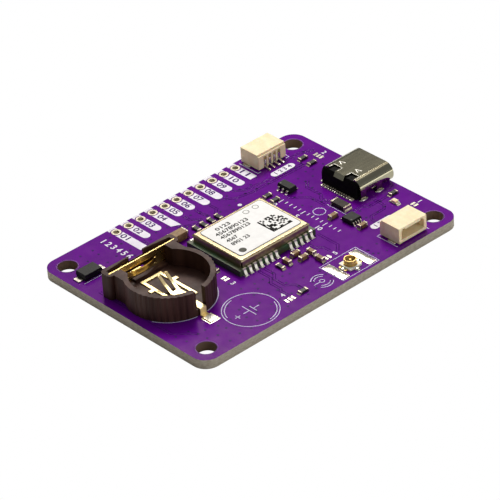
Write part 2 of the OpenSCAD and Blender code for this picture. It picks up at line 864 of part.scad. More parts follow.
module socket_housing() {
    side = socket_w / 2;
    front = socket_d / 2;
    back = -socket_d / 2;
    key_w = 0.5;
    key_h = 0.28;
    color("cornsilk") difference() {
        box([-side, back, socket_lift], [side, front, socket_h]);
        box([socket_wall - side, back + socket_back_wall, socket_lift + socket_wall],
            [side - socket_wall, front + cut, socket_h - socket_wall]);
        for (s = [-1, 1]) translate([s * (side - socket_wall - key_w), 0, socket_h - socket_wall - cut])
            box([-key_w / 2, back + socket_back_wall, 0], [key_w / 2, front + cut, cut + key_h]);
        // Slots for the tails, under a lip along the top of the back
        for (i = [0:socket_pins - 1]) translate([(i - (socket_pins - 1) / 2) * socket_pitch, back, 0])
            box([-0.31, -cut, -cut], [0.31, socket_lip_d + 0.2, socket_h - socket_lip_h]);
        box([-side - cut, back - cut, socket_h - 0.35], [side + cut, back + socket_lip_d, socket_h + cut]);
        socket_contact_shape();
        socket_tab_shape();
    }
}

module rear_socket_housing() {
    at_rear_socket() socket_housing();
}

module rear_socket_contacts() {
    color("silver") at_rear_socket() socket_contact_shape();
}

module rear_socket_tabs() {
    color("silver") at_rear_socket() socket_tab_shape();
}

module front_socket_housing() {
    at_front_socket() socket_housing();
}

module front_socket_contacts() {
    color("silver") at_front_socket() socket_contact_shape();
}

module front_socket_tabs() {
    color("silver") at_front_socket() socket_tab_shape();
}

// Antenna connector

module at_coax() {
    translate([coax_x, coax_y, board_t]) children();
}

module coax_ground_feet() {
    toe = coax_base_l / 2 + 0.5;
    riser = coax_ring_d / 2 - coax_ring_t;
    for (s = [0, 1]) mirror([s, 0, 0]) {
        box([riser, -0.8, 0], [toe, 0.8, 0.12]);
        box([riser, -0.3, 0], [coax_ring_d / 2, 0.3, coax_base_h]);
    }
}

module coax_pin_shape() {
    cylinder(d = coax_pin_d, h = coax_h - 0.15);
    box([-0.25, -coax_base_l / 2 - 0.45, 0], [0.25, 0, 0.12]);
}

module coax_ring_shape() {
    flange = 0.1;
    difference() {
        union() {
            translate([0, 0, coax_base_h]) cylinder(d = coax_ring_d, h = coax_h - coax_base_h);
            translate([0, 0, coax_base_h]) cylinder(d = coax_ring_d + 2 * flange, h = flange);
            translate([0, 0, coax_h - 2.5 * flange]) cylinder(d = coax_ring_d + flange, h = flange);
        }
        translate([0, 0, -cut]) cylinder(d = coax_ring_d - 2 * coax_ring_t, h = coax_h + 2 * cut);
    }
}

module coax_base() {
    color("ivory") at_coax() difference() {
        linear_extrude(coax_base_h) rounded_rect(coax_base_l, coax_base_l, 0.2);
        coax_pin_shape();
        coax_ground_feet();
    }
}

module coax_ring() {
    color("goldenrod") at_coax() {
        coax_ring_shape();
        coax_ground_feet();
    }
}

module coax_pin() {
    color("gold") at_coax() coax_pin_shape();
}

// Diode, protection chip, regulator

module diode_lead_shape() {
    for (s = [0, 1]) mirror([s, 0, 0])
        box([diode_l / 2 - diode_heel, -diode_lead_w / 2, 0],
            [diode_l / 2 + diode_toe, diode_lead_w / 2, diode_lead_t]);
}

module diode_body() {
    color("#2b2b2b") on_board([diode_x, diode_y, 0]) difference() {
        translate([0, 0, -body_lift]) moulded_body(diode_w, diode_l, diode_h + body_lift);
        diode_lead_shape();
    }
}

module diode_leads() {
    color("silver") on_board([diode_x, diode_y, 0]) diode_lead_shape();
}

module esd_leg_shape() {
    bent_legs(3, esd_pitch, esd_lead_w, esd_w, esd_h, esd_toe);
}

module esd_chip_body() {
    color("#303030") on_board([esd_x, esd_y, 0]) difference() {
        moulded_body(esd_l, esd_w, esd_h);
        esd_leg_shape();
    }
}

module esd_chip_leads() {
    color("silver") on_board([esd_x, esd_y, 0]) esd_leg_shape();
}

module regulator_leg_shape() {
    bent_legs(4, regulator_pitch, regulator_lead_w, regulator_w, regulator_h, regulator_toe);
}

module regulator_body() {
    color("#303030") on_board([regulator_x, regulator_y, 90]) difference() {
        moulded_body(regulator_l, regulator_w, regulator_h);
        regulator_leg_shape();
    }
}

module regulator_leads() {
    color("silver") on_board([regulator_x, regulator_y, 90]) regulator_leg_shape();
}

// Two-ended parts

module fuse_body() {
    color("#4a3a3a") on_board(fuse_place) chip_body(large_l, large_w, fuse_h);
}

module fuse_terminals() {
    color("silver") on_board(fuse_place) chip_terminals(large_l, large_w, fuse_h);
}

module led_base() {
    color("whitesmoke") on_board(led_place) chip_body(chip_l, chip_w, led_base_h);
}

module led_lens() {
    lens_l = chip_l - 2 * chip_end;
    color("lightyellow") on_board(led_place) translate([0, 0, led_base_h - cap_lip])
        linear_extrude(led_h - led_base_h) rounded_rect(lens_l, chip_w - 2 * cap_lip, 0.1);
}

module led_terminals() {
    color("gold") on_board(led_place) chip_terminals(chip_l, chip_w, led_base_h);
}

module resistor_bodies() {
    color("#202020") for (place = resistor_places) on_board(place) chip_body(chip_l, chip_w, resistor_h);
}

module resistor_terminals() {
    color("silver") for (place = resistor_places) on_board(place) chip_terminals(chip_l, chip_w, resistor_h);
}

module capacitor_bodies() {
    color("tan") for (place = capacitor_places) on_board(place) chip_body(chip_l, chip_w, capacitor_h);
}

module capacitor_terminals() {
    color("silver") for (place = capacitor_places)
        on_board(place) chip_terminals(chip_l, chip_w, capacitor_h);
}

module bulk_capacitor_body() {
    color("tan") on_board(bulk_place) chip_body(large_l, large_w, large_capacitor_h);
}

module bulk_capacitor_terminals() {
    color("silver") on_board(bulk_place) chip_terminals(large_l, large_w, large_capacitor_h);
}

circuit_board();
header_barrels();
jumper_pads();
antenna_pads();
module_substrate();
module_terminals();
module_shield();
module_label();
receiver_chip();
crystal_oscillator();
antenna_filter();
supply_inductor();
holder_body();
holder_blade_contact();
holder_floor_contact();
usb_shell();
usb_insulator();
usb_contacts();
usb_midplate();
rear_socket_housing();
rear_socket_contacts();
rear_socket_tabs();
front_socket_housing();
front_socket_contacts();
front_socket_tabs();
coax_base();
coax_ring();
coax_pin();
diode_body();
diode_leads();
esd_chip_body();
esd_chip_leads();
regulator_body();
regulator_leads();
fuse_body();
fuse_terminals();
led_base();
led_lens();
led_terminals();
resistor_bodies();
resistor_terminals();
capacitor_bodies();
capacitor_terminals();
bulk_capacitor_body();
bulk_capacitor_terminals();
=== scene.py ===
"""Dresses the satellite positioning board: finishes, legend print, solder, studio and camera.

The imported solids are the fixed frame. Sizes here are millimetres in the board's own frame, whose
origin is the middle of the board's underside, and meshes are made in metres.
"""

import logging
import math
import random
from dataclasses import dataclass, field
from enum import Enum
from functools import cache

import bmesh
import bpy
from mathutils import Matrix, Vector

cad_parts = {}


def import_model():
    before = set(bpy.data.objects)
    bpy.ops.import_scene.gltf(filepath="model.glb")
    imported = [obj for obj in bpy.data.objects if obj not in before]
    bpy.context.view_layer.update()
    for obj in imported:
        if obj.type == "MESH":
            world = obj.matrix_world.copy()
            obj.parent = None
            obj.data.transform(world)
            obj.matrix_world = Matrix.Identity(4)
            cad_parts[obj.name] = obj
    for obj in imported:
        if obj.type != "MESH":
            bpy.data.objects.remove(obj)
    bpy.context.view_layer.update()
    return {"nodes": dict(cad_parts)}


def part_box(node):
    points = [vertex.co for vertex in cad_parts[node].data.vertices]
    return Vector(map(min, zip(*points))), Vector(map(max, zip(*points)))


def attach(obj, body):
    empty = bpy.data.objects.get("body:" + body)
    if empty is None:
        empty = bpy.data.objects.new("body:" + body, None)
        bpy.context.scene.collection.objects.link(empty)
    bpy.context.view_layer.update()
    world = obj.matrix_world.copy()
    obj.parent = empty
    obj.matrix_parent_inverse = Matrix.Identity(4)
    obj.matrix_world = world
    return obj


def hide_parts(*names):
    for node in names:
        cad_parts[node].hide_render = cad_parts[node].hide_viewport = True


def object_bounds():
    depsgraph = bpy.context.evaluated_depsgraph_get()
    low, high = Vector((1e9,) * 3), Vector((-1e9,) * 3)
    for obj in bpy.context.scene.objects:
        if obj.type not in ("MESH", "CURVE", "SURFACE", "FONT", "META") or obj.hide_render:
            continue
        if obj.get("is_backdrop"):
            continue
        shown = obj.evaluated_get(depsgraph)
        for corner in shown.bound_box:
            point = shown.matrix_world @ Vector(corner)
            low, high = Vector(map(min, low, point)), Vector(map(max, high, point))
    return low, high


LOG = logging.getLogger("board_scene")
MM = 0.001
BODY = "root"
IMAGE_SIDE = 500

# The font's own unit over the height of its figures, and how far their outlines are thickened
FONT_RATIO = 1.4
FONT_WEIGHT = 0.028

# The grain's outputs: share of its scale, detail, roughness, and the range that becomes 0 to 1
GRAIN = {
    "Shade": (0.3, 3.0, 0.5, (0.35, 0.65)),
    "Gloss": (0.55, 2.0, 0.5, (0.32, 0.68)),
    "Height": (1.0, 4.0, 0.6, (0.0, 1.0)),
}

# Share of a printed cell's side that takes ink, so that neighbours never touch
CELL_SHARE = 0.96

# What a copied solid is cleaned by: metres between doubles, and degrees across flat and sharp edges
MERGE_REACH = 1e-7
FLAT_ANGLE = 0.5
SMOOTH_ANGLE = 35.0
BEVEL_ANGLE = 40.0

Colour = tuple[float, float, float, float]
Point = tuple[float, float]
Triple = tuple[float, float, float]
Path = list[Point]
Rgb = tuple[int, int, int]
Object = bpy.types.Object
Mesh = bpy.types.Mesh
Material = bpy.types.Material
Socket = bpy.types.NodeSocket
GeometryTree = bpy.types.GeometryNodeTree


def srgb(*channels: int) -> Colour:
    """Turns red, green and blue from 0 to 255 into linear light, with an alpha of 1."""
    parts = [value / 255 for value in channels]
    return (*(p / 12.92 if p <= 0.04045 else ((p + 0.055) / 1.055) ** 2.4 for p in parts), 1.0)


# Node trees


class NodeTree:
    """Adds nodes to a shader or geometry tree and wires them by socket."""

    def __init__(self, tree: bpy.types.NodeTree) -> None:
        """Takes an empty tree, or empties it."""
        self.tree = tree
        tree.nodes.clear()

    def socket(self, name: str, kind: str, into: bool = True) -> None:
        """Adds a named socket to the tree's own interface."""
        way = "INPUT" if into else "OUTPUT"
        self.tree.interface.new_socket(name=name, in_out=way, socket_type=f"NodeSocket{kind}")

    def add(self, kind: str, inputs: dict | None = None, **settings: object) -> bpy.types.Node:
        """Adds one node.

        Args:
            kind: The node's type name.
            inputs: Socket names or numbers, each with a value or the socket that feeds it.
            settings: The node's own options.

        Returns:
            The new node.
        """
        node = self.tree.nodes.new(kind)
        for key, value in settings.items():
            setattr(node, key, value)
        for key, value in (inputs or {}).items():
            if isinstance(value, Socket):
                self.tree.links.new(value, node.inputs[key])
            else:
                node.inputs[key].default_value = value
        return node

    def math(self, operation: str, first: object, second: object = 0.0) -> Socket:
        """Adds a Math node and returns its result."""
        return self.add("ShaderNodeMath", {0: first, 1: second}, operation=operation).outputs[0]

    def vector(self, operation: str, *values: object) -> Socket:
        """Adds a Vector Math node and returns its vector."""
        inputs = dict(enumerate(values))
        return self.add("ShaderNodeVectorMath", inputs, operation=operation).outputs[0]

    def mix(self, factor: object, first: object, second: object) -> Socket:
        """Mixes two colours and returns the result."""
        inputs = {0: factor, 6: first, 7: second}
        return self.add("ShaderNodeMix", inputs, data_type="RGBA").outputs[2]

    def ranged(self, value: object, start: Point = (0.0, 1.0), end: Point = (0.0, 1.0)) -> Socket:
        """Maps one range onto another, held at its ends.

        Args:
            value: A value or the socket that gives it.
            start: Low and high end of the value's range.
            end: What those two ends become.

        Returns:
            The mapped value.
        """
        inputs = {"From Min": start[0], "From Max": start[1], "To Min": end[0], "To Max": end[1]}
        return self.add("ShaderNodeMapRange", {"Value": value, **inputs}).outputs["Result"]

    def grain(self, size_mm: float, stretch: Triple) -> bpy.types.Node:
        """Adds the shared grain at a size and a stretch."""
        inputs = {"Scale": 1 / (size_mm * MM), "Stretch": stretch}
        return self.add("ShaderNodeGroup", inputs, node_tree=grain_group())

    def bump(self, height: Socket, relief_mm: float) -> Socket:
        """Adds relief of a height in millimetres and returns its normal."""
        return self.add("ShaderNodeBump", {"Distance": relief_mm * MM, "Height": height}).outputs[0]

    def surface(self, inputs: dict) -> None:
        """Ends a material with one Principled shader."""
        shader = self.add("ShaderNodeBsdfPrincipled", inputs)
        self.add("ShaderNodeOutputMaterial", {"Surface": shader.outputs[0]})


@cache
def grain_group() -> bpy.types.ShaderNodeTree:
    """Builds the grain that all the finishes share, once.

    Returns:
        A group with a Scale and a Stretch, giving Shade, Gloss and Height from 0 to 1.
    """
    tree = NodeTree(bpy.data.node_groups.new("surface_grain", "ShaderNodeTree"))
    tree.socket("Scale", "Float")
    tree.socket("Stretch", "Vector")
    given = tree.add("NodeGroupInput")
    place = tree.add("ShaderNodeTexCoord").outputs["Object"]
    stretched = tree.vector("MULTIPLY", place, given.outputs["Stretch"])
    results = {}
    for name, (share, detail, roughness, span) in GRAIN.items():
        tree.socket(name, "Float", into=False)
        scale = tree.math("MULTIPLY", given.outputs["Scale"], share)
        inputs = {"Vector": stretched, "Scale": scale, "Detail": detail, "Roughness": roughness}
        results[name] = tree.ranged(tree.add("ShaderNodeTexNoise", inputs).outputs[0], span)
    tree.add("NodeGroupOutput", results)
    return tree.tree


def started_material(name: str) -> tuple[Material, NodeTree]:
    """Starts a material.

    Args:
        name: The material's name.

    Returns:
        The material and its empty tree.
    """
    material = bpy.data.materials.new(name)
    material.use_nodes = True
    return material, NodeTree(material.node_tree)


@dataclass(frozen=True)
class Finish:
    """One surface finish: two colours, a gloss range and a grain.

    Attributes:
        name: Name of the material.
        slot: The record's material slot.
        colour: Main colour.
        shade: Colour in the grain's patches.
        gloss: Lowest and highest roughness.
        metallic: 1 for bare metal.
        grain_mm: Size of the grain.
        relief_mm: Height of the grain.
        stretch: How much finer the grain runs along each axis.
        coat: Weight of a clear top layer.
        coat_gloss: Roughness of that layer.
        subsurface: Weight of light scattered inside.
        subsurface_mm: How far that light goes.
        sheen: Specular level, 0.5 for common plastic.
    """

    name: str
    slot: str
    colour: Rgb
    shade: Rgb
    gloss: tuple[float, float]
    metallic: float = 0.0
    grain_mm: float = 0.3
    relief_mm: float = 0.003
    stretch: Triple = (1.0, 1.0, 1.0)
    coat: float = 0.0
    coat_gloss: float = 0.12
    subsurface: float = 0.0
    subsurface_mm: float = 0.4
    sheen: float = 0.5

    @cache
    def material(self) -> Material:
        """Builds the finish the first time.

        Returns:
            The finish as a material.
        """
        material, tree = started_material(self.name)
        grain = tree.grain(self.grain_mm, self.stretch)
        tree.surface(
            {
                "Base Color": tree.mix(grain.outputs["Shade"], srgb(*self.colour), srgb(*self.shade)),
                "Roughness": tree.ranged(grain.outputs["Gloss"], end=self.gloss),
                "Metallic": self.metallic,
                "Specular IOR Level": self.sheen,
                "Coat Weight": self.coat,
                "Coat Roughness": self.coat_gloss,
                "Subsurface Weight": self.subsurface,
                "Subsurface Scale": self.subsurface_mm * MM,
                "Normal": tree.bump(grain.outputs["Height"], self.relief_mm),
            }
        )
        return material


@dataclass(frozen=True)
class BoardFinish:
    """Coloured mask over copper on the faces, and bare glass laminate on the cut edges."""

    name: str = "board_mask"
    slot: str = "solder_mask"
    mask: Rgb = (98, 9, 138)
    mask_shade: Rgb = (90, 6, 130)
    edge: Rgb = (174, 168, 155)
    edge_shade: Rgb = (152, 145, 131)
    # Darker brown on the mounting holes' walls: partly the drilled laminate's own brown, partly
    # painted shade inside the holes
    bore: Rgb = (112, 94, 80)
    hole_r: float = 1.75
    hole_place: Point = (24.0, 16.0)
    mask_gloss: tuple[float, float] = (0.14, 0.19)
    edge_gloss: tuple[float, float] = (0.6, 0.85)
    face_upright: tuple[float, float] = (0.6, 0.8)
    sheen: float = 0.21
    copper_glow: Colour = (1.0, 0.5, 0.2, 1.0)
    peel_mm: float = 0.9
    peel_relief_mm: float = 0.0035
    peel_stretch: Triple = (1.0, 1.0, 1.0)
    fibre_mm: float = 0.11
    fibre_stretch: Triple = (0.6, 0.6, 1.6)

    @cache
    def material(self) -> Material:
        """Builds the finish the first time, telling faces from edges by their true normal.

        Returns:
            The finish as a material.
        """
        material, tree = started_material(self.name)
        normal = tree.add("ShaderNodeNewGeometry").outputs["True Normal"]
        upright = tree.add("ShaderNodeSeparateXYZ", {0: normal}).outputs["Z"]
        face = tree.ranged(tree.math("ABSOLUTE", upright), self.face_upright)
        peel = tree.grain(self.peel_mm, self.peel_stretch)
        fibre = tree.grain(self.fibre_mm, self.fibre_stretch)
        mask = tree.mix(peel.outputs["Shade"], srgb(*self.mask), srgb(*self.mask_shade))
        cut = tree.mix(fibre.outputs["Shade"], srgb(*self.edge), srgb(*self.edge_shade))
        edge = tree.mix(self.in_bore(tree), cut, srgb(*self.bore))
        rough_mask = tree.ranged(peel.outputs["Gloss"], end=self.mask_gloss)
        rough_edge = tree.ranged(fibre.outputs["Gloss"], end=self.edge_gloss)
        rough = tree.add("ShaderNodeMix", {0: face, 2: rough_edge, 3: rough_mask}, data_type="FLOAT")
        tree.surface(
            {
                "Base Color": tree.mix(face, edge, mask),
                "Roughness": rough.outputs[0],
                "Specular IOR Level": self.sheen,
                "Specular Tint": self.copper_glow,
                "Normal": tree.bump(peel.outputs["Height"], self.peel_relief_mm),
            }
        )
        return material

    def in_bore(self, tree: NodeTree) -> Socket:
        """Tells the walls of the four mounting holes from the rest.

        Args:
            tree: The board's tree.

        Returns:
            1 inside the holes and 0 elsewhere.
        """
        place = tree.add("ShaderNodeTexCoord").outputs["Object"]
        centre = (self.hole_place[0] * MM, self.hole_place[1] * MM, 0.0)
        offset = tree.vector("SUBTRACT", tree.vector("ABSOLUTE", place), centre)
        flat = tree.vector("MULTIPLY", offset, (1.0, 1.0, 0.0))
        reach = tree.add("ShaderNodeVectorMath", {0: flat}, operation="LENGTH").outputs["Value"]
        return tree.math("LESS_THAN", reach, self.hole_r * MM)


class Looks:
    """The finishes of this board, each named for what wears it."""

    board = BoardFinish()
    clearance = Finish(
        "mask_clearance", "solder_mask", (62, 5, 100), (52, 4, 90), (0.2, 0.26), grain_mm=0.8,
        sheen=0.3,
    )
    route_gap = Finish(
        "route_gap", "solder_mask", (76, 6, 114), (66, 5, 104), (0.2, 0.26), grain_mm=0.8,
        sheen=0.12,
    )
    via_tent = Finish("via_tent", "solder_mask", (62, 5, 100), (50, 4, 86), (0.3, 0.36), sheen=0.06)
    hole_rim = Finish(
        "hole_rim", "solder_mask", (124, 80, 150), (100, 56, 128), (0.4, 0.5), grain_mm=0.4,
        sheen=0.1,
    )
    legend = Finish(
        "legend_ink", "label_film", (228, 225, 235), (218, 214, 228), (0.5, 0.65), grain_mm=0.35
    )
    legend_line = Finish(
        "legend_fine", "label_film", (212, 207, 236), (202, 196, 228), (0.5, 0.65), grain_mm=0.35
    )
    pad_gold = Finish(
        "pad_gold", "gold_plate", (212, 204, 182), (194, 185, 162), (0.3, 0.4), metallic=0.25,
        grain_mm=0.25, relief_mm=0.001,
    )
    pad_tin = Finish(
        "pad_tin", "tin_solder", (224, 220, 208), (206, 201, 188), (0.22, 0.28), metallic=0.9,
        grain_mm=0.6, relief_mm=0.001,
    )
    chip_tin = Finish(
        "chip_tin", "tin_solder", (186, 178, 160), (158, 148, 130), (0.22, 0.34), metallic=1.0,
        grain_mm=0.25, relief_mm=0.004,
    )
    solder = Finish(
        "solder", "tin_solder", (228, 224, 214), (206, 200, 188), (0.18, 0.28), metallic=1.0,
        grain_mm=0.35, relief_mm=0.002,
    )
    dome_tin = Finish(
        "dome_tin", "tin_solder", (228, 223, 211), (208, 202, 189), (0.22, 0.28), metallic=0.95,
        grain_mm=0.5, relief_mm=0.0003,
    )
    terminal_tin = Finish(
        "terminal_tin", "tin_solder", (236, 232, 222), (220, 215, 203), (0.3, 0.4), metallic=0.75,
        grain_mm=0.35, relief_mm=0.001,
    )
    module_laminate = Finish(
        "module_edge", "module_laminate", (44, 82, 48), (60, 62, 30), (0.4, 0.6), grain_mm=0.5
    )
    shield = Finish(
        "pressed_shield", "shield_steel", (174, 160, 130), (162, 147, 118), (0.3, 0.38),
        metallic=1.0, grain_mm=0.5, relief_mm=0.0003, stretch=(1.0, 1.0, 0.2),
    )
    label = Finish(
        "label_paper", "label_film", (238, 238, 238), (231, 231, 231), (0.55, 0.7), relief_mm=0.002
    )
    label_ink = Finish(
        "label_ink", "chip_epoxy", (18, 17, 16), (30, 28, 26), (0.6, 0.75), sheen=0.1
    )
    label_grey = Finish(
        "label_grey", "chip_epoxy", (92, 92, 86), (84, 84, 78), (0.6, 0.75), sheen=0.1
    )
    epoxy = Finish(
        "moulded_epoxy", "chip_epoxy", (26, 28, 26), (19, 20, 19), (0.45, 0.6), grain_mm=0.09,
        sheen=0.2,
    )
    chip_mark = Finish(
        "chip_mark", "chip_epoxy", (96, 98, 92), (84, 86, 80), (0.6, 0.7), grain_mm=0.1
    )
    ceramic_lid = Finish(
        "plated_lid", "ceramic_lid", (200, 198, 190), (180, 178, 170), (0.3, 0.4), metallic=1.0
    )
    # Dark brown moulding; the vertical light and dark bands of its grain are painted highlights and
    # shade standing in for flutes on the wall
    holder = Finish(
        "moulded_holder", "holder_plastic", (74, 49, 42), (52, 31, 26), (0.42, 0.54), grain_mm=0.6,
        relief_mm=0.004, stretch=(1.0, 1.0, 0.06), sheen=0.18,
    )
    contact = Finish(
        "sprung_gold", "contact_gold", (244, 216, 146), (232, 198, 118), (0.25, 0.31), metallic=1.0,
        grain_mm=0.4, relief_mm=0.0002, stretch=(0.4, 1.0, 1.0),
    )
    floor_gold = Finish(
        "floor_gold", "contact_gold", (250, 230, 178), (240, 214, 152), (0.34, 0.42), metallic=0.8,
        grain_mm=0.4, relief_mm=0.0002, stretch=(0.4, 1.0, 1.0),
    )
    coax_gold = Finish(
        "coax_gold", "contact_gold", (212, 182, 114), (194, 162, 96), (0.36, 0.46), metallic=0.75,
        grain_mm=0.2, relief_mm=0.001,
    )
    usb_steel = Finish(
        "drawn_steel", "usb_steel", (171, 169, 147), (164, 161, 140), (0.135, 0.15), metallic=1.0,
        relief_mm=0.0001, stretch=(0.2, 1.0, 1.0),
    )
    # Near-white steel: a painted highlight on the USB shell's pressed catches and notch edges, where
    # their bends catch the light
    sheared_steel = Finish(
        "sheared_steel", "usb_steel", (250, 248, 238), (238, 235, 224), (0.42, 0.52), metallic=0.35,
        grain_mm=0.2, relief_mm=0.0004,
    )
    insulator = Finish(
        "insulator_black", "insulator_plastic", (9, 8, 8), (6, 6, 6), (0.5, 0.65), sheen=0.07
    )
    socket = Finish(
        "socket_cream", "socket_plastic", (244, 228, 190), (236, 216, 174), (0.36, 0.5),
        subsurface=0.25,
    )
    coax_plastic = Finish(
        "coax_white", "coax_plastic", (244, 240, 228), (234, 228, 212), (0.35, 0.45), subsurface=0.2
    )
    resistor = Finish(
        "glazed_resistor", "resistor_film", (34, 33, 32), (46, 44, 42), (0.3, 0.42), grain_mm=0.2,
        sheen=0.3,
    )
    capacitor = Finish(
        "fired_ceramic", "capacitor_ceramic", (142, 110, 68), (120, 90, 52), (0.4, 0.55),
        grain_mm=0.15, sheen=0.35,
    )
    fuse = Finish(
        "fuse_glaze", "fuse_coat", (48, 38, 31), (36, 29, 25), (0.35, 0.5), grain_mm=0.25,
        sheen=0.15,
    )
    led_resin = Finish(
        "lamp_resin", "led_resin", (250, 236, 200), (244, 222, 170), (0.12, 0.2), coat=0.6,
        subsurface=0.4,
    )


# Meshes


def link(obj: Object) -> Object:
    """Puts an object in the scene and returns it."""
    bpy.context.scene.collection.objects.link(obj)
    return obj


def evaluated(obj: Object) -> Mesh:
    """Returns an object's evaluated shape as a new plain mesh."""
    graph = bpy.context.evaluated_depsgraph_get()
    return bpy.data.meshes.new_from_object(obj.evaluated_get(graph))


def plain(obj: Object) -> Object:
    """Turns an object's evaluated shape into its mesh and drops its modifiers.

    Args:
        obj: An object with live modifiers.

    Returns:
        The same object.
    """
    mesh = evaluated(obj)
    obj.modifiers.clear()
    obj.data = mesh
    mesh.name = obj.name
    return obj


def wear(mesh: Mesh, material: Material) -> None:
    """Puts one material on every face of a mesh.

    Args:
        mesh: The mesh.
        material: What it wears.
    """
    mesh.materials.clear()
    mesh.materials.append(material)
    for polygon in mesh.polygons:
        polygon.material_index = 0


def smooth(mesh: Mesh) -> None:
    """Shades a mesh smooth, apart from its sharp edges."""
    mesh.shade_smooth()
    mesh.set_sharp_from_angle(angle=math.radians(SMOOTH_ANGLE))


def made(name: str, bm: bmesh.types.BMesh, material: Material) -> Object:
    """Ends a mesh that was built face by face.

    Args:
        name: The piece's name.
        bm: The faces, freed here.
        material: What the piece wears.

    Returns:
        The new object, in the scene.
    """
    mesh = bpy.data.meshes.new(name)
    bm.to_mesh(mesh)
    bm.free()
    wear(mesh, material)
    return link(bpy.data.objects.new(name, mesh))


def keep(obj: Object, finish: Finish, *nodes: str) -> Object:
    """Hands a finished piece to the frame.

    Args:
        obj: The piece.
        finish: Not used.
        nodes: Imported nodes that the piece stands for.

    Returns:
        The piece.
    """
    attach(obj, BODY)
    if nodes:
        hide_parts(*nodes)
    LOG.info("piece %s, %d faces", obj.name, len(obj.data.polygons))
    return obj


def slab(name: str, outlines: list[Path], low: float, high: float, finish: Finish) -> Object:
    """Extrudes flat outlines into closed plates, all in one piece.

    Args:
        name: The piece's name.
        outlines: Corner lists, counter-clockwise, in millimetres.
        low: Height of the undersides.
        high: Height of the tops.
        finish: What the piece wears.

    Returns:
        The new object.
    """
    bm = bmesh.new()
    for outline in outlines:
        rings = [[bm.verts.new((x * MM, y * MM, z * MM)) for x, y in outline] for z in (low, high)]
        bm.faces.new(list(reversed(rings[0])))
        bm.faces.new(rings[1])
        count = len(outline)
        for i in range(count):
            j = (i + 1) % count
            bm.faces.new((rings[0][i], rings[0][j], rings[1][j], rings[1][i]))
    bmesh.ops.recalc_face_normals(bm, faces=bm.faces)
    return made(name, bm, finish.material())


def arc(centre: Point, radius: float, start: float, end: float, steps: int = 24) -> Path:
    """Returns points along an arc, with its angles in degrees."""
    turns = [math.radians(start + (end - start) * i / steps) for i in range(steps + 1)]
    return [(centre[0] + radius * math.cos(t), centre[1] + radius * math.sin(t)) for t in turns]


def ring(centre: Point, radius: float, sides: int) -> Path:
    """Returns the corners of a regular ring, for a closed path or an outline."""
    return arc(centre, radius, 0, 360 * (sides - 1) / sides, sides - 1)


class Stamp(Enum):
    """What a field of points is stamped with: the node that makes it, and that node's inputs."""

    BLOCK = ("GeometryNodeMeshCube", (("Size", (1.0, 1.0, 1.0)),))
    DISC = ("GeometryNodeMeshCylinder", (("Vertices", 20), ("Radius", 0.5), ("Depth", 1.0)))
    BEAD = ("GeometryNodeMeshUVSphere", (("Segments", 16), ("Rings", 10), ("Radius", 0.5)))


